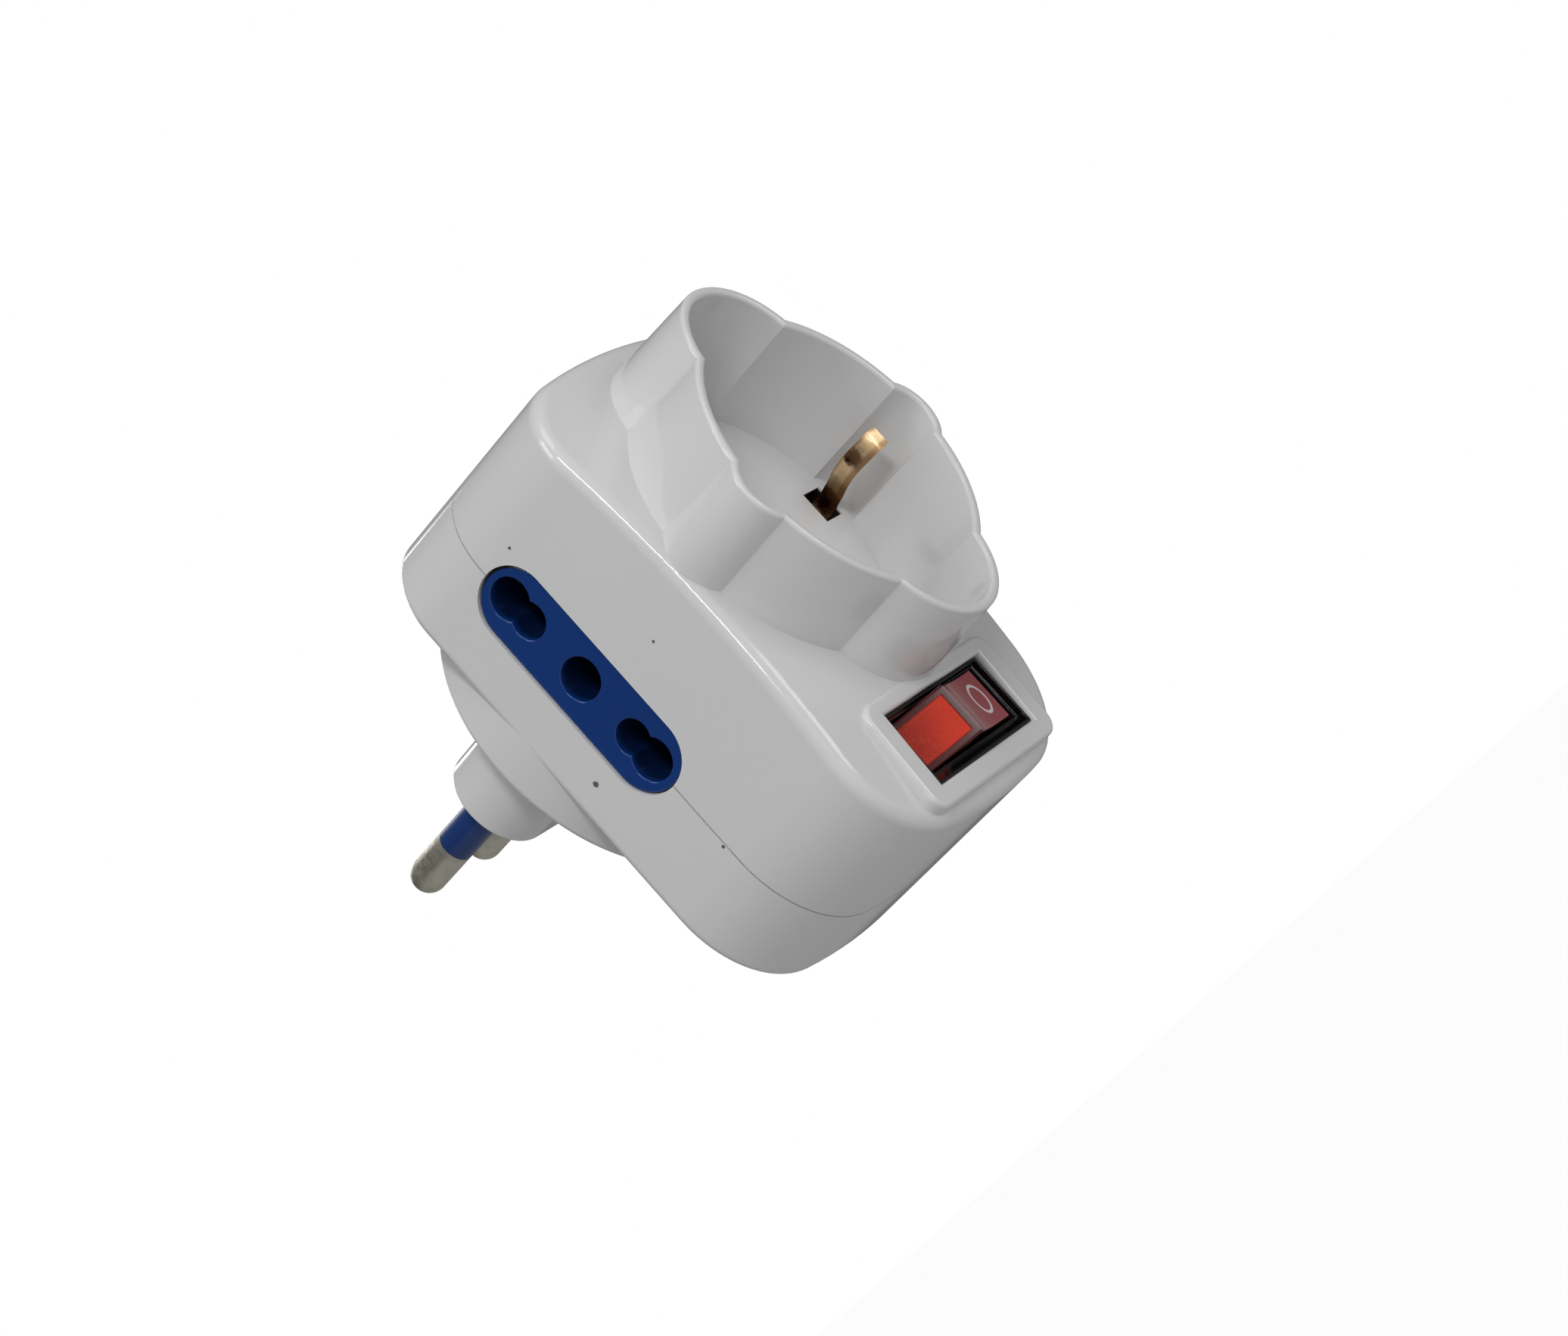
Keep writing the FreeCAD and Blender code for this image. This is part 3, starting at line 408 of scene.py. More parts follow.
@dataclass(frozen=True)
class CasePlastic(Plastic):
    """The housing's plastic, with its specks, its dirty seam, and soot with painted shade in the clip
    window's pocket.
    """

    specks: tuple[tuple[Point, float], ...] = ()
    speck_colour: Colour = (0.16, 0.12, 0.09)
    seam_depth: float = 30.2 * MM
    seam_edge: tuple[float, float] = (0.02 * MM, 0.1 * MM)
    seam_share: float = 0.8
    seam_colour: Colour = (0.1, 0.09, 0.07)
    hair_span: tuple[float, float] = (-32 * MM, -22 * MM)
    hair_colour: Colour = (0.04, 0.1, 0.08)
    soot_and_shade_place: Point = (18.6 * MM, -46.0 * MM, 0.8 * MM)
    soot_and_shade_reach: float = 4.6 * MM
    soot_and_shade_core: float = 0.6
    soot_and_shade_depth: float = 47.05 * MM
    soot_and_shade_fade: float = 0.3 * MM
    soot_and_shade_colour: Colour = (0.018, 0.015, 0.012)

    def marks(self, graph: Graph, colour: Wire) -> Wire:
        """Add the specks, the dirty seam, and the soot with painted shade in the clip window's pocket.

        Args:
            graph: The material's graph.
            colour: The clean colour.

        Returns:
            The marked colour.
        """
        colour = graph.mix(graph.spots(self.specks), colour, self.speck_colour)
        _, y, z = graph.axes()
        off_seam = graph.math("ABSOLUTE", y + self.seam_depth)
        seam = graph.ramp(off_seam, *self.seam_edge, self.seam_share, 0.0)
        dirt = graph.mix(graph.ramp(z, *self.hair_span), self.hair_colour, self.seam_colour)
        colour = graph.mix(seam, colour, dirt)
        # Soot and painted shade: the shell darkens inside the clip window's pocket, below the socket
        # floor, round the burnt clip.
        sunk = graph.ramp(y + self.soot_and_shade_depth, 0.0, self.soot_and_shade_fade)
        core = self.soot_and_shade_reach * self.soot_and_shade_core
        near = graph.ramp(graph.distance(self.soot_and_shade_place), core, self.soot_and_shade_reach, 1.0, 0.0)
        return graph.mix(sunk * near, colour, self.soot_and_shade_colour)


@dataclass(frozen=True)
class InsertPlastic(Plastic):
    """The side inserts' plastic, with a painted shadow of the gap round the edge of each one and painted
    shade on the walls of its holes.
    """

    middle: tuple[float, float] = (-30.0 * MM, -0.42 * MM)
    straight: float = 11.9 * MM
    radius: float = 5.2 * MM
    gap_shadow_edge: tuple[float, float] = (-0.05 * MM, 0.06 * MM)
    gap_shadow_colour: Colour = (0.002, 0.003, 0.006)
    bore: tuple[float, float] = (22.6 * MM, 24.2 * MM)
    bore_shade_share: float = 0.75
    bore_shade_colour: Colour = (0.002, 0.005, 0.014)

    def marks(self, graph: Graph, colour: Wire) -> Wire:
        """Paint a shadow of the gap round the insert's edge, and shade on the walls of its holes.

        Args:
            graph: The material's graph.
            colour: The clean colour.

        Returns:
            The shaded colour.
        """
        x, y, z = graph.axes()
        past_straight = graph.math("ABSOLUTE", z - self.middle[1]) - self.straight
        along = graph.math("MAXIMUM", past_straight, 0.0)
        reach = graph.length(along, y - self.middle[0])
        # Painted shadow: a dark band at the insert's outline, where the gap round it lies.
        painted_gap_shadow = graph.ramp(reach, *(self.radius + edge for edge in self.gap_shadow_edge))
        # Painted shade: the walls of the holes are darker deeper in.
        painted_bore_shade = graph.ramp(graph.math("ABSOLUTE", x), *self.bore, self.bore_shade_share, 0.0)
        colour = graph.mix(painted_bore_shade, colour, self.bore_shade_colour)
        return graph.mix(painted_gap_shadow, colour, self.gap_shadow_colour)


@dataclass(frozen=True)
class Metal:
    """A metal with fine marks drawn out along its tool's path, and tarnish in patches."""

    name: str
    colour: Colour
    tarnish: Colour
    roughness: float = 0.3
    grain: Point = (900.0, 4000.0, 900.0)
    grain_depth: float = 2e-6
    patch_scale: float = 420.0
    patch_span: tuple[float, float] = (0.4, 0.75)
    gloss_swing: tuple[float, float] = (0.75, 1.4)

    def marks(self, graph: Graph, colour: Wire) -> Wire:
        """Return the colour with the marks of use on it, of which a plain metal has none."""
        return colour

    def material(self) -> bpy.types.Material:
        """Make the finish.

        Returns:
            The material, with its fine marks in its gloss and its relief.
        """
        graph = Graph(self.name)
        patches = graph.noise(self.patch_scale, 4.0, 0.6)
        lines = graph.noise(1.0, 2.0, at=graph.stretched(self.grain))
        colour = graph.mix(graph.ramp(patches, *self.patch_span), self.colour, self.tarnish)
        glossy, dull = (self.roughness * share for share in self.gloss_swing)
        rough = graph.ramp(lines + patches * 0.6, 0.5, 1.1, glossy, dull)
        return graph.finish(
            Base_Color=self.marks(graph, colour),
            Metallic=1.0,
            Roughness=rough,
            Normal=graph.bump(lines, self.grain_depth),
        )


@dataclass(frozen=True)
class BurntBrass(Metal):
    """The strip brass, browned at its edges and burnt where the far clip has sparked."""

    burns: tuple[tuple[Point, float], ...] = ()
    halos: tuple[tuple[Point, float], ...] = ()
    burn_colour: Colour = (0.035, 0.014, 0.008)
    halo_colour: Colour = (0.2, 0.1, 0.055)
    edge_colour: Colour = (0.34, 0.18, 0.08)
    middle: float = 0.75 * MM
    edges: tuple[float, float] = (0.6 * MM, 1.15 * MM)
    edge_share: float = 0.7
    halo_shape: tuple[float, float] = (0.35, 0.5)
    burn_shape: tuple[float, float] = (0.6, 0.2)

    def marks(self, graph: Graph, colour: Wire) -> Wire:
        """Brown the strip's edges and burn it where it has sparked.

        Args:
            graph: The material's graph.
            colour: The clean colour.

        Returns:
            The marked colour.
        """
        _, _, z = graph.axes()
        off_middle = graph.math("ABSOLUTE", z - self.middle)
        browned = graph.ramp(off_middle, *self.edges) * self.edge_share
        colour = graph.mix(browned, colour, self.edge_colour)
        colour = graph.mix(graph.spots(self.halos, *self.halo_shape), colour, self.halo_colour)
        return graph.mix(graph.spots(self.burns, *self.burn_shape), colour, self.burn_colour)


@dataclass(frozen=True)
class Glass:
    """Clear glass with a faint tint."""

    name: str
    colour: Colour
    clear: Colour = (0.95, 0.93, 0.9)
    seed_scale: float = 900.0
    roughness: tuple[float, float] = (0.02, 0.1)

    def material(self) -> bpy.types.Material:
        """Make the finish.

        Returns:
            The material, with fine seeds in its tint and its gloss.
        """
        graph = Graph(self.name)
        seeds = graph.noise(self.seed_scale, 2.0)
        return graph.finish(
            Base_Color=graph.mix(seeds, self.colour, self.clear),
            Roughness=graph.ramp(seeds, 0.3, 0.8, *self.roughness),
            Transmission_Weight=0.9,
            IOR=1.47,
        )


SIDE = -24.45 * MM
SPECKS = (
    ((SIDE, -21.8 * MM, -10.1 * MM), 0.42 * MM),
    ((SIDE, -35.5 * MM, 17.0 * MM), 0.24 * MM),
    ((SIDE, -42.0 * MM, -3.6 * MM), 0.22 * MM),
    ((SIDE, -29.8 * MM, -26.5 * MM), 0.26 * MM),
    ((SIDE, -9.7 * MM, -1.2 * MM), 0.3 * MM),
    ((-22.5 * MM, -12.9 * MM, 0.1 * MM), 0.22 * MM),
    ((-13.5 * MM, -52.2 * MM, 18.5 * MM), 0.2 * MM),
)
BURNS = (
    ((15.0 * MM, -55.2 * MM, 1.2 * MM), 0.7 * MM),
    ((18.9 * MM, -46.4 * MM, 0.4 * MM), 1.5 * MM),
)
HALOS = (
    ((15.2 * MM, -56.0 * MM, 0.9 * MM), 1.5 * MM),
    ((18.7 * MM, -47.2 * MM, 0.5 * MM), 2.6 * MM),
)

FINISHES: dict[Slot, Plastic | Metal | Glass] = {
    Slot.SHELL: CasePlastic(
        "moulded_white", srgb(226, 226, 226), srgb(224, 224, 225), roughness=0.1, specks=SPECKS),
    Slot.INSERT: InsertPlastic("moulded_blue", srgb(16, 60, 132), srgb(14, 56, 124), roughness=0.16),
    Slot.PIN: Metal("nickel_plate", (0.64, 0.62, 0.53), (0.52, 0.50, 0.42), roughness=0.42),
    Slot.SLEEVE: Plastic("sleeve_blue", srgb(24, 62, 128), srgb(18, 50, 108), roughness=0.3),
    Slot.CONTACT: BurntBrass(
        "stamped_brass", (0.80, 0.60, 0.37), (0.66, 0.46, 0.25), roughness=0.42, burns=BURNS, halos=HALOS),
    Slot.CARRIER: Plastic("carrier_grey", (0.6, 0.6, 0.58), (0.5, 0.5, 0.48), roughness=0.5),
    Slot.BLACK: Plastic("moulded_black", srgb(17, 18, 20), srgb(13, 13, 15), roughness=0.12),
    Slot.RED: Plastic("rocker_red", srgb(120, 18, 16), srgb(90, 12, 12), roughness=0.22),
    Slot.PLUNGER: Plastic("nylon", (0.7, 0.69, 0.64), (0.6, 0.59, 0.55), roughness=0.45),
    Slot.LAMP: Glass("lamp_glass", (0.9, 0.8, 0.7)),
    Slot.STEEL: Metal("plated_steel", (0.5, 0.5, 0.52), (0.4, 0.4, 0.4), roughness=0.35),
}


# Camera, light and floor


@dataclass(frozen=True)
class PhotoCamera:
    """The photograph's camera, in the part's frame."""

    place: Point = (-0.35730, -0.27131, -0.06792)
    right: Point = (0.47837, -0.57536, -0.66341)
    down: Point = (-0.28776, 0.61105, -0.73744)
    lens: float = 79.79
    sensor: float = 36.0
    clip_start: float = 0.01

    def build(self) -> None:
        """Make the camera and set it as the scene's own."""
        data = bpy.data.cameras.new("photo_camera")
        data.lens = self.lens
        data.sensor_width = self.sensor
        data.sensor_fit = "HORIZONTAL"
        data.clip_start = self.clip_start
        camera = bpy.data.objects.new("photo_camera", data)
        right = Vector(self.right).normalized()
        up = -Vector(self.down)
        up = (up - right * up.dot(right)).normalized()
        back = right.cross(up)
        turn = Matrix((right, up, back)).transposed().to_4x4()
        camera.matrix_world = Matrix.Translation(self.place) @ turn
        bpy.context.scene.collection.objects.link(camera)
        bpy.context.scene.camera = camera


@dataclass(frozen=True)
class Softbox:
    """One area lamp that looks at a point of the part."""

    name: str
    place: Point
    width: float
    height: float
    power: float
    aim: Point = (0.0, -0.03, 0.0)
    colour: Colour = (1.0, 1.0, 1.0)

    def build(self) -> None:
        """Make the lamp."""
        data = bpy.data.lights.new(self.name, "AREA")
        data.shape = "RECTANGLE"
        data.size = self.width
        data.size_y = self.height
        data.energy = self.power
        data.color = self.colour
        lamp = bpy.data.objects.new(self.name, data)
        lamp.location = self.place
        towards = Vector(self.aim) - Vector(self.place)
        lamp.rotation_euler = towards.to_track_quat("-Z", "Y").to_euler()
        bpy.context.scene.collection.objects.link(lamp)


@dataclass(frozen=True)
class Studio:
    """A plain white room: a pale floor well under the part, a white surround and soft lamps."""

    floor_z: float = -0.16
    floor_size: float = 6.0
    surround: float = 0.12
    floor_colour: Colour = (0.62, 0.62, 0.62)
    floor_roughness: float = 0.9
    floor_glow: float = 0.97
    lamps: tuple[Softbox, ...] = (
        Softbox("key", (-0.75, -0.75, 0.35), 0.14, 0.6, 3.9),
        Softbox("top", (-0.75, -0.1, 0.85), 0.4, 0.5, 3.0),
        Softbox("over", (-0.25, -0.75, 0.95), 0.5, 0.5, 1.9),
        Softbox("front", (0.28, -1.1, -0.15), 0.5, 0.5, 2.9),
        Softbox("back", (0.5, 0.9, 0.6), 0.5, 0.5, 2.4),
    )

    def build(self) -> None:
        """Make the world, the floor and the lamps."""
        self._world()
        self._floor()
        for lamp in self.lamps:
            lamp.build()

    def _world(self) -> None:
        """Make the white surround, full for the camera and through glass, dim as a light."""
        world = bpy.data.worlds.new("studio")
        world.use_nodes = True
        bpy.context.scene.world = world
        tree = world.node_tree
        tree.nodes.clear()
        path = tree.nodes.new("ShaderNodeLightPath")
        seen = tree.nodes.new("ShaderNodeMath")
        seen.operation = "MAXIMUM"
        tree.links.new(path.outputs["Is Camera Ray"], seen.inputs[0])
        tree.links.new(path.outputs["Is Transmission Ray"], seen.inputs[1])
        strength = tree.nodes.new("ShaderNodeMapRange")
        tree.links.new(seen.outputs[0], strength.inputs["Value"])
        strength.inputs["To Min"].default_value = self.surround
        strength.inputs["To Max"].default_value = 1.0
        background = tree.nodes.new("ShaderNodeBackground")
        background.inputs["Color"].default_value = (1.0, 1.0, 1.0, 1.0)
        tree.links.new(strength.outputs[0], background.inputs["Strength"])
        output = tree.nodes.new("ShaderNodeOutputWorld")
        tree.links.new(background.outputs[0], output.inputs["Surface"])

    def _floor(self) -> None:
        """Make the floor."""
        mesh = bpy.data.meshes.new("floor")
        shape = bmesh.new()
        bmesh.ops.create_grid(shape, x_segments=1, y_segments=1, size=self.floor_size / 2)
        bmesh.ops.translate(shape, verts=shape.verts, vec=(0, 0, self.floor_z))
        shape.to_mesh(mesh)
        shape.free()
        floor = bpy.data.objects.new("floor", mesh)
        bpy.context.scene.collection.objects.link(floor)
        mesh.materials.append(self._floor_material())

    def _floor_material(self) -> bpy.types.Material:
        """Make the floor's material.

        Returns:
            A matte white that glows for the camera alone, so that no horizon shows.
        """
        graph = Graph("pale_floor")
        path = graph.node("ShaderNodeLightPath")
        matte = graph.node(
            "ShaderNodeBsdfPrincipled",
            {"Base Color": self.floor_colour, "Roughness": self.floor_roughness},
        )
        glow = graph.node("ShaderNodeEmission", {"Color": (1.0, 1.0, 1.0), "Strength": 1.0})
        blend = graph.node("ShaderNodeMixShader")
        share = Wire(graph, path.outputs["Is Camera Ray"]) * self.floor_glow
        graph.feed(blend.inputs[0], share)
        graph.tree.links.new(matte.outputs[0], blend.inputs[1])
        graph.tree.links.new(glow.outputs[0], blend.inputs[2])
        graph.close(Wire(graph, blend.outputs[0]))
        return graph.material


# The part


@dataclass
class Dressing:
    """The CAD nodes in their materials."""

    nodes: dict[str, bpy.types.Object]
    record: dict
    made: dict[Slot, bpy.types.Material] = field(default_factory=dict)

    def material(self, slot: Slot) -> bpy.types.Material:
        """Make a slot's material once, and give the same one after that.

        Args:
            slot: The record's material slot.

        Returns:
            The slot's one material.
        """
        if slot not in self.made:
            self.made[slot] = FINISHES[slot].material()
        return self.made[slot]

    def build(self) -> None:
        """Give every CAD node its finish."""
        for entry in self.record["subparts"]:
            node = self.nodes[entry["node"]]
            material = self.material(Slot(entry["material_slot"]))
            for place in node.material_slots:
                place.material = material


def eased(value: float, low: float, high: float) -> float:
    """Return 0 below low, 1 above high and a smooth rise between them."""
    share = min(max((value - low) / (high - low), 0.0), 1.0)
    return share * share * (3 - 2 * share)


def finished(
    shape: bmesh.types.BMesh, name: str, body: Body, sharp: float = 50.0
) -> bpy.types.Object:
    """Turn a shape into a piece that rides on a body.

    Args:
        shape: The shape, in metres at its place in the part.
        name: The piece's name.
        body: The body that carries it.
        sharp: The angle in degrees past which an edge stays sharp.

    Returns:
        The new object, at the origin.
    """
    bmesh.ops.remove_doubles(shape, verts=shape.verts, dist=MERGE)
    bmesh.ops.recalc_face_normals(shape, faces=shape.faces)
    mesh = bpy.data.meshes.new(name)
    shape.to_mesh(mesh)
    shape.free()
    mesh.shade_smooth()
    mesh.set_sharp_from_angle(angle=math.radians(sharp))
    piece = bpy.data.objects.new(name, mesh)
    bpy.context.scene.collection.objects.link(piece)
    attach(piece, body.value)
    LOG.info("%s: %d faces", name, len(mesh.polygons))
    return piece


def verts_of(geometry: Sequence[object]) -> list[bmesh.types.BMVert]:
    """Return the corners among an operator's results."""
    return [part for part in geometry if isinstance(part, bmesh.types.BMVert)]


def close_down(shape: bmesh.types.BMesh, level: float) -> None:
    """Draw an open shape's rim along Y to a level, and close it there.

    Args:
        shape: The shape, with one open rim.
        level: Where the bottom lies, on Y.
    """
    rim = [edge for edge in shape.edges if edge.is_boundary]
    wall = bmesh.ops.extrude_edge_only(shape, edges=rim)["geom"]
    for vert in verts_of(wall):
        vert.co.y = level
    low = [part for part in wall if isinstance(part, bmesh.types.BMEdge) and part.is_boundary]
    bmesh.ops.edgeloop_fill(shape, edges=low)


def sweep_round(shape: bmesh.types.BMesh, profile: list, steps: int) -> None:
    """Sweep a profile once round the Y axis.

    Args:
        shape: The shape that holds the profile.
        profile: The profile's corners and edges.
        steps: How many facets the turn has.
    """
    bmesh.ops.spin(
        shape, geom=profile, cent=(0, 0, 0), axis=(0, 1, 0),
        angle=math.tau, steps=steps, use_merge=True)


@dataclass(frozen=True)
class RockerCap:
    """The moulded rocker: a flat half with a set-in panel, a hollowed half with a ring mark.

    Lengths are in millimetres, in the rocker's own frame: X along it, -Y out of the switch.
    """

    pivot: Point = (0.0, -46.66, -33.15)
    tilt: float = math.radians(-8.0)
    half_length: float = 10.5
    half_width: float = 3.78
    offset: float = 0.6
    height: float = 6.5
    slope: float = math.tan(math.radians(20.0))
    dip: float = 1.0
    skirt: float = 1.2
    corner: float = 0.28
    border: float = 0.95
    sink: float = 0.08
    ring_middle: float = 7.8
    ring_half: tuple[float, float] = (1.5, 2.3)
    ring_line: float = 0.3
    ring_rise: float = 0.03
    ring_edge: float = 0.05
    ridge: float = 0.05
    hollow_power: float = 0.8
    panel_edge: float = 0.12
    columns: int = 300
    rows: int = 110

    def _ring(self, s: float, t: float) -> float:
        """Return the distance from the ring's outer edge, inwards."""
        half_s, half_t = self.ring_half
        return (1 - math.hypot((s - self.ring_middle) / half_s, t / half_t)) * half_s

    def _rise(self, s: float, t: float) -> float:
        """Find the top's height over the pivot.

        Args:
            s: The place along the rocker.
            t: The place across it.

        Returns:
            The height, with the hollow, the rounded edge, the panel and the ring in it.
        """
        away = math.hypot(s, self.ridge) - self.ridge
        share = max(s / self.half_length, 0.0) ** self.hollow_power
        rise = self.height - away * self.slope - 4 * self.dip * share * (1 - share)
        edge = min(self.half_width - abs(t), self.half_length - abs(s))
        inside = min(max(self.corner - edge, 0.0), self.corner)
        rise -= self.corner - math.sqrt(self.corner ** 2 - inside ** 2)
        panel = min(self.half_width - abs(t), self.half_length + s, -s) - self.border
        rise -= self.sink * eased(panel, 0.0, self.panel_edge)
        depth = self._ring(s, t)
        outer = eased(depth, 0.0, self.ring_edge)
        inner = eased(self.ring_line - depth, 0.0, self.ring_edge)
        return rise + self.ring_rise * outer * inner

    def _material(self) -> bpy.types.Material:
        """Make the lens plastic.

        Returns:
            The material, with its grained panel and the panel's painted sparkle, painted light along the
            panel, painted shade along the hollow half and down the sides, its dark border and its ring.
        """
        origin = tuple((a + b) * MM for a, b in zip(self.pivot, (0.0, 0.0, self.offset)))
        graph = Graph("rocker_lens", origin, self.tilt)
        s, y, t = graph.axes()
        across = graph.math("ABSOLUTE", t)
        inner = (self.half_width - self.border) * MM
        from_tip = s + (self.half_length - self.border) * MM
        from_ridge = -1.0 * s - self.border * MM
        ends = graph.math("MINIMUM", from_tip, from_ridge)
        panel = graph.ramp(graph.math("MINIMUM", inner - across, ends), -0.12 * MM, 0.2 * MM)
        marked = graph.ramp(s, 0.0, 0.08 * MM)
        half_s, half_t = self.ring_half
        reach = graph.length((s - self.ring_middle * MM) * (1 / half_s), t * (1 / half_t)) * half_s
        line, outer = self.ring_line * MM, half_s * MM
        ring = graph.ramp(reach, outer - line - 0.05 * MM, outer - line + 0.05 * MM) * graph.ramp(
            reach, outer - 0.05 * MM, outer + 0.05 * MM, 1.0, 0.0)
        grain = graph.noise(9000.0, 2.0, 0.8)
        # Painted light: the panel is brighter towards the ridge and darker towards its tip.
        glow = graph.ramp(s - t * 0.5 + graph.noise(260.0, 3.0) * (2.5 * MM), -8.6 * MM, 0.0)
        lit = graph.mix(glow, srgb(158, 28, 14), srgb(222, 52, 30))
        # Painted sparkle: where the grain is high, the panel is lightened towards a pale orange-red.
        lit = graph.mix(graph.ramp(grain, 0.5, 0.72, 0.0, 0.5), lit, srgb(246, 120, 88))
        border = graph.mix(graph.noise(300.0, 3.0), srgb(96, 22, 24), srgb(60, 14, 16))
        # Painted shade: the hollow half darkens and reddens from the ridge towards its far end.
        hollow_painted_shade = graph.ramp(s + graph.noise(420.0, 3.0) * (2.0 * MM), 1.0 * MM, 9.0 * MM)
        far = graph.mix(hollow_painted_shade, srgb(178, 128, 128), srgb(164, 84, 88))
        near = graph.mix(panel, border, lit)
        colour = graph.mix(marked, near, graph.mix(ring, far, srgb(226, 218, 222)))
        # Painted shade: the cap's sides darken from red near the top to near black towards the frame.
        down = graph.ramp(y, -self.height * MM, -3.0 * MM)
        side = graph.mix(down, srgb(126, 22, 34), srgb(24, 8, 10))
        top = graph.ramp(inner + self.border * MM - across, 0.0, 0.06 * MM)
        colour = graph.mix(top, side, colour)
        return graph.finish(
            Base_Color=colour,
            Roughness=graph.ramp(panel, 0.0, 1.0, 0.12, 0.5),
            IOR=1.36,
            Coat_Weight=0.35 - 0.35 * panel,
            Coat_Roughness=0.06,
            Normal=graph.bump(grain * panel, 1.2e-5, 0.5),
        )

    def build(self) -> None:
        """Make the cap in the place of the CAD rocker."""
        shape = bmesh.new()
        bmesh.ops.create_grid(shape, x_segments=self.columns, y_segments=self.rows, size=1.0)
        for vert in shape.verts:
            s, t = vert.co.x * self.half_length, vert.co.y * self.half_width
            vert.co = (s, -self._rise(s, t), t)
        close_down(shape, self.skirt)
        place = Vector(self.pivot) + Vector((0.0, 0.0, self.offset))
        turn = Matrix.Scale(MM, 4) @ Matrix.Translation(place) @ Matrix.Rotation(self.tilt, 4, "Z")
        bmesh.ops.transform(shape, matrix=turn, verts=shape.verts)
        cap = finished(shape, "rocker_cap", Body.ROCKER)
        cap.data.materials.append(self._material())
        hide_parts("rocker")


@dataclass(frozen=True)
class SwitchFrame:
    """The switch's black frame: a plate round the rocker with a raised rim, in millimetres."""

    middle: float = -33.15
    front: float = 50.3
    depth: float = 5.6
    across: tuple[float, ...] = (-12.65, -12.2, -11.5, 11.5, 12.2, 12.65)
    along: tuple[float, ...] = (-5.2, -4.85, -3.6, 4.5, 4.85, 5.2)
    rim: float = 0.75
    rounding: float = 0.1
    bevel_angle: float = 0.5
    tolerance: float = 0.01

    def _rim_faces(self, shape: bmesh.types.BMesh) -> list[bmesh.types.BMFace]:
        """Find the front's faces that lie outside the rim's inner edge.

        Args:
            shape: The frame's plate.

        Returns:
            The faces that are raised as the rim.
        """
        found = []
        for face in shape.faces:
            middle = face.calc_center_median()
            within = abs(middle.x) < self.across[4] and abs(middle.z - self.middle) < self.along[4]
            if abs(middle.y + self.front) < self.tolerance and not within:
                found.append(face)
        return found

    def build(self, material: bpy.types.Material) -> None:
        """Make the frame in the place of the CAD one.

        Args:
            material: The black plastic.
        """
        shape = bmesh.new()
        cells = len(self.across) - 1
        bmesh.ops.create_grid(shape, x_segments=cells, y_segments=cells, size=1.0)
        for vert in shape.verts:
            column, row = (round((value + 1) / 2 * cells) for value in (vert.co.x, vert.co.y))
            vert.co = (self.across[column], self.depth - self.front, self.middle + self.along[row])
        middle = Vector((0, 0, self.middle))
        hole = min(shape.faces, key=lambda face: (face.calc_center_median() - middle).xz.length)
        bmesh.ops.delete(shape, geom=[hole], context="FACES_ONLY")
        plate = bmesh.ops.extrude_face_region(shape, geom=shape.faces[:])["geom"]
        bmesh.ops.translate(shape, verts=verts_of(plate), vec=(0, -self.depth, 0))
        raised = bmesh.ops.extrude_face_region(shape, geom=self._rim_faces(shape))["geom"]
        bmesh.ops.translate(shape, verts=verts_of(raised), vec=(0, -self.rim, 0))
        bmesh.ops.recalc_face_normals(shape, faces=shape.faces)
        edges = [
            edge for edge in shape.edges
            if len(edge.link_faces) == 2 and edge.calc_face_angle() > self.bevel_angle
        ]
        bmesh.ops.bevel(
            shape, geom=edges, offset=self.rounding, segments=3, profile=0.5,
            affect="EDGES", material=-1)
        bmesh.ops.transform(shape, matrix=Matrix.Scale(MM, 4), verts=shape.verts)
        frame = finished(shape, "switch_surround", Body.HOUSING, 40.0)
        frame.data.materials.append(material)
        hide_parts("switch_frame")


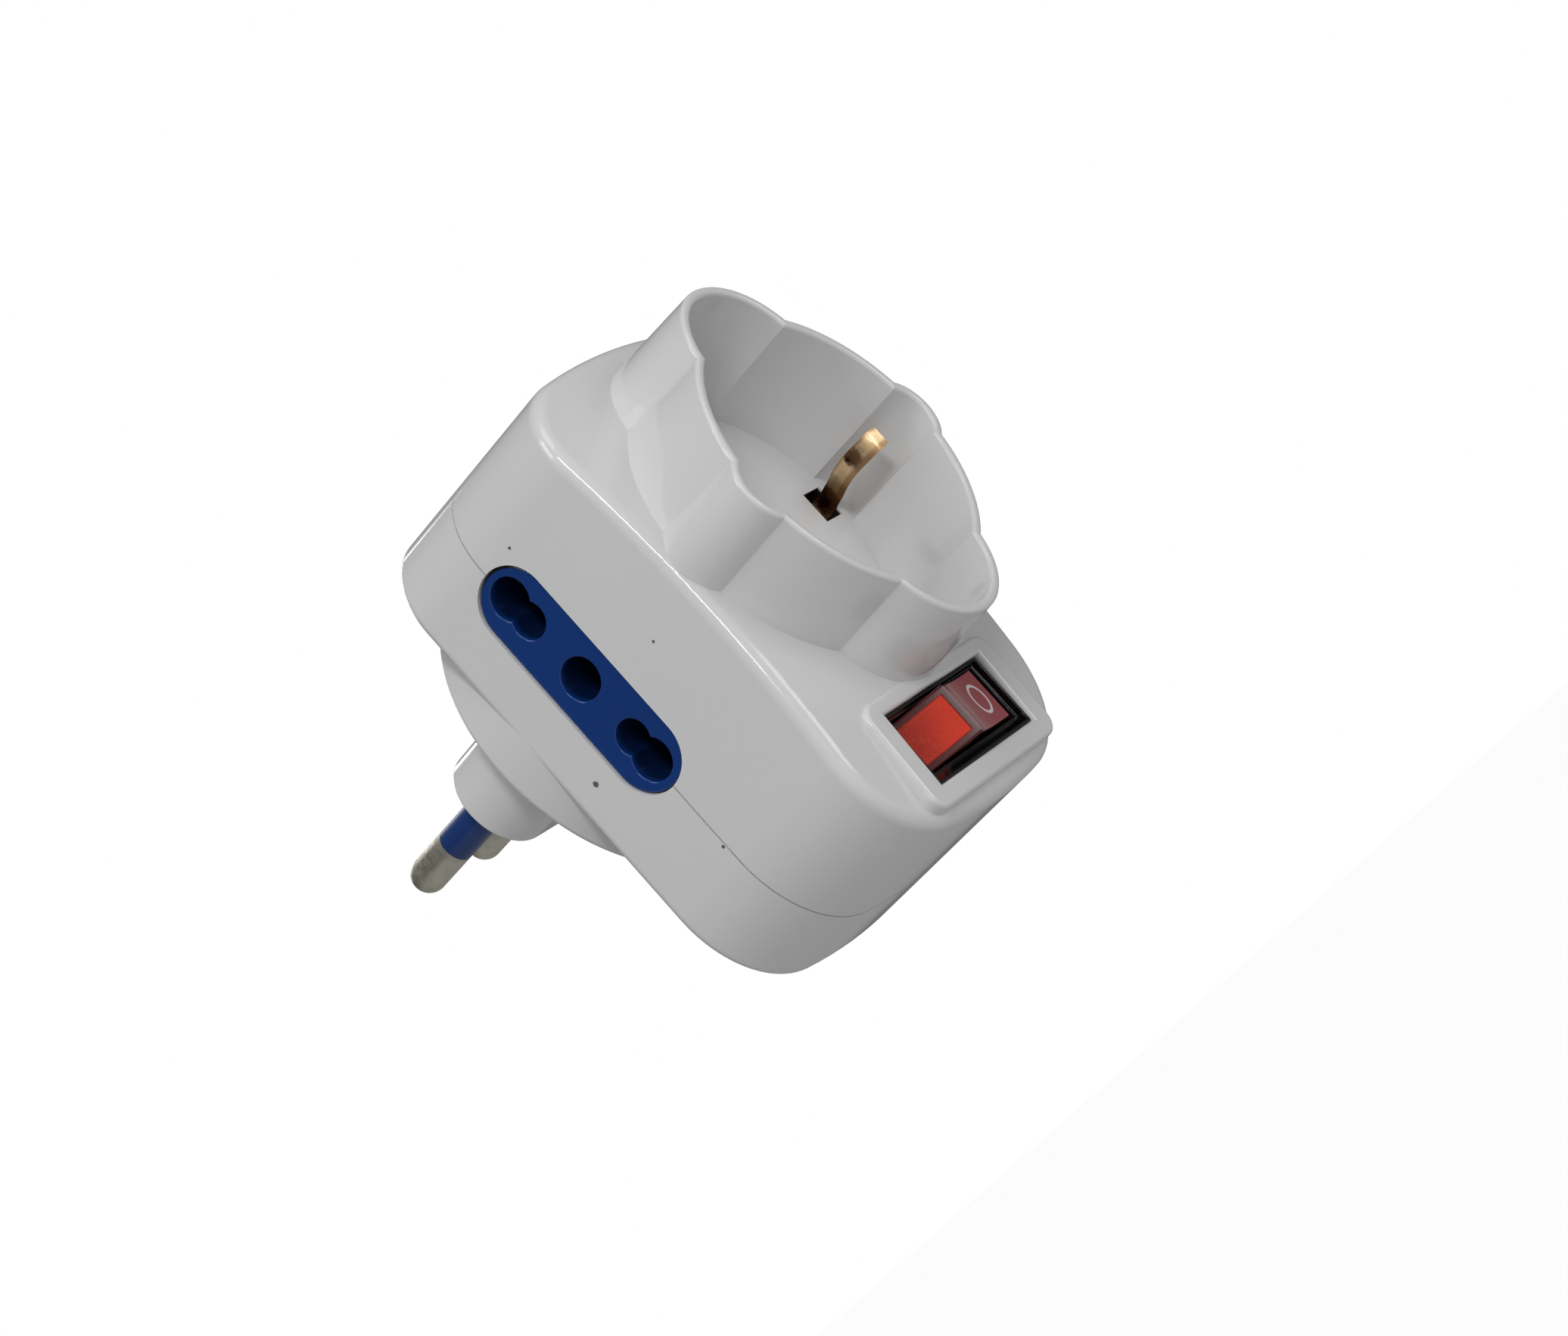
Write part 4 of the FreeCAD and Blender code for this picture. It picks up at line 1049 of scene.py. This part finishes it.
@dataclass(frozen=True)
class EarthClips:
    """The brass earth strap with its two bowed side clips, in millimetres."""

    path: tuple[Point, ...] = (
        (18.7, 44.0, 0.3), (18.75, 46.4, 0.35), (18.4, 47.9, 0.5), (17.3, 50.0, 0.6),
        (16.1, 51.9, 0.7), (15.3, 54.0, 0.78), (15.1, 55.4, 0.8), (15.5, 57.4, 0.8),
        (16.1, 58.9, 0.82), (17.1, 60.1, 0.82),
    )
    strap_depth: float = 43.9
    half_width: float = 1.15
    thickness: float = 0.55
    crown: float = 0.06
    tip_narrowing: float = 0.18
    tip_share: float = 0.04
    hole: float = 3.2
    ring: float = 4.8
    arm_half_width: float = 1.9
    overlap: float = 0.3
    steps: int = 10
    cross_steps: int = 14
    ring_steps: int = 64

    def _curve(self) -> list[Vector]:
        """Draw a Catmull-Rom curve through the clip's path.

        Returns:
            The curve's points, each (x, depth, z).
        """
        points = [Vector(point) for point in self.path]
        guide = [points[0] * 2 - points[1]] + points + [points[-1] * 2 - points[-2]]
        line = []
        for before, start, end, after in zip(guide, guide[1:], guide[2:], guide[3:]):
            for step in range(self.steps):
                u = step / self.steps
                line.append(0.5 * (2 * start + (end - before) * u
                                   + (2 * before - 5 * start + 4 * end - after) * u ** 2
                                   + (3 * start - before - 3 * end + after) * u ** 3))
        line.append(points[-1])
        return line

    def _clip(self, side: int) -> bpy.types.Object:
        """Make one clip.

        Args:
            side: 1 for the clip on +X, -1 for the other.

        Returns:
            The clip.
        """
        line = self._curve()
        last = len(line) - 1
        shape = bmesh.new()
        bmesh.ops.create_grid(shape, x_segments=last, y_segments=self.cross_steps, size=1.0)
        for vert in shape.verts:
            index = round((vert.co.x + 1) / 2 * last)
            across = vert.co.y
            x, depth, z = line[index]
            tail = (last - index) / last
            narrow = 1.0 - self.tip_narrowing * max(0.0, 1 - tail / self.tip_share) ** 2
            crown = self.crown * (1 - across * across)
            vert.co = (side * (x - crown), -depth, z + across * self.half_width * narrow)
        bmesh.ops.solidify(shape, geom=shape.faces[:], thickness=self.thickness)
        bmesh.ops.transform(shape, matrix=Matrix.Scale(MM, 4), verts=shape.verts)
        name = "earth_clip_%s" % ("right" if side > 0 else "left")
        return finished(shape, name, Body.HOUSING, 40.0)

    def _strap(self) -> bpy.types.Object:
        """Make the strap behind the socket floor.

        Returns:
            The strap, with the ring that the earth pin goes through.
        """
        shape = bmesh.new()
        root = self.path[0][0]
        start = shape.verts.new((self.hole, -self.strap_depth, 0.0))
        end = shape.verts.new((self.ring, -self.strap_depth, 0.0))
        edge = shape.edges.new((start, end))
        sweep_round(shape, [start, end, edge], self.ring_steps)
        upright = Matrix.Rotation(math.pi / 2, 4, "X")
        half_length = (root - self.ring + 2 * self.overlap) / 2
        size = Matrix.Diagonal((half_length, self.arm_half_width, 1.0, 1.0))
        for side in (-1, 1):
            middle = side * (self.ring - self.overlap + root) / 2
            move = Matrix.Translation((middle, -self.strap_depth, 0.0)) @ upright
            bmesh.ops.create_grid(shape, x_segments=12, y_segments=4, size=1.0, matrix=move @ size)
        bmesh.ops.recalc_face_normals(shape, faces=shape.faces)
        bmesh.ops.solidify(shape, geom=shape.faces[:], thickness=self.thickness)
        bmesh.ops.transform(shape, matrix=Matrix.Scale(MM, 4), verts=shape.verts)
        return finished(shape, "earth_strap", Body.HOUSING, 40.0)

    def build(self, material: bpy.types.Material) -> None:
        """Make the clips and their strap in the place of the CAD ones.

        Args:
            material: The brass.
        """
        pieces = [self._clip(-1), self._clip(1), self._strap()]
        for piece in pieces:
            piece.data.materials.append(material)
            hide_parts("earth_clips")


@dataclass(frozen=True)
class ScrewFaces:
    """The case screws' cross-recessed pan heads in their wells, in millimetres."""

    places: tuple[tuple[float, float], ...] = (
        (17.5, 22.5), (-17.5, 22.5), (17.0, -35.0), (-17.0, -35.0),
    )
    depth: float = 20.9
    radius: float = 2.6
    wall: float = 0.3
    crown: float = 0.55
    arm: tuple[float, float] = (0.3, 1.3)
    arm_edge: float = 0.2
    recess: float = 0.75
    foot: float = -0.05
    first_turn: float = 0.4
    next_turn: float = 0.9
    rings: int = 30
    spokes: int = 96

    def _rise(self, x: float, z: float) -> float:
        """Find the head's height over its seat.

        Args:
            x, z: The place on the head, from its middle.

        Returns:
            The height, with the cross recess cut into it.
        """
        share = min(math.hypot(x, z) / self.radius, 1.0)
        wide, long = self.arm
        level = max(abs(x) - wide, 0) + max(abs(z) - long, 0)
        upright = max(abs(z) - wide, 0) + max(abs(x) - long, 0)
        cut = self.recess * (1 - eased(min(level, upright), 0.0, self.arm_edge))
        return self.wall + self.crown * math.sqrt(1 - share ** 2) - cut

    def _head(self, turn: float, x: float, z: float) -> bmesh.types.BMesh:
        """Shape one head.

        Args:
            turn: The angle that the screw was left at, in radians.
            x, z: The middle of its well.

        Returns:
            The shape, in metres at its place.
        """
        shape = bmesh.new()
        radii = [self.radius * ring / self.rings for ring in range(self.rings + 1)]
        row = [shape.verts.new((radius, 0.0, 0.0)) for radius in radii]
        edges = [shape.edges.new(pair) for pair in zip(row, row[1:])]
        sweep_round(shape, row + edges, self.spokes)
        bmesh.ops.remove_doubles(shape, verts=shape.verts, dist=1e-5)
        for vert in shape.verts:
            vert.co.y = self._rise(vert.co.x, vert.co.z)
        close_down(shape, self.foot)
        place = Matrix.Translation((x, -self.depth, z)) @ Matrix.Rotation(turn, 4, "Y")
        bmesh.ops.transform(shape, matrix=Matrix.Scale(MM, 4) @ place, verts=shape.verts)
        return shape

    def build(self, material: bpy.types.Material) -> None:
        """Make the four heads.

        Args:
            material: The plated steel.
        """
        for number, (x, z) in enumerate(self.places):
            shape = self._head(self.first_turn + number * self.next_turn, x, z)
            head = finished(shape, "screw_face_%d" % number, Body.HOUSING)
            head.data.materials.append(material)


def main() -> None:
    """Build the scene."""
    logging.basicConfig(level=logging.INFO, format="%(name)s: %(message)s")
    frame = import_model()
    PhotoCamera().build()
    Studio().build()
    dressing = Dressing(frame["nodes"], frame["record"])
    dressing.build()
    RockerCap().build()
    SwitchFrame().build(dressing.material(Slot.BLACK))
    EarthClips().build(dressing.material(Slot.CONTACT))
    ScrewFaces().build(dressing.material(Slot.STEEL))
    view = bpy.context.scene.view_settings
    view.view_transform = "Standard"


if __name__ == "__main__":
    main()
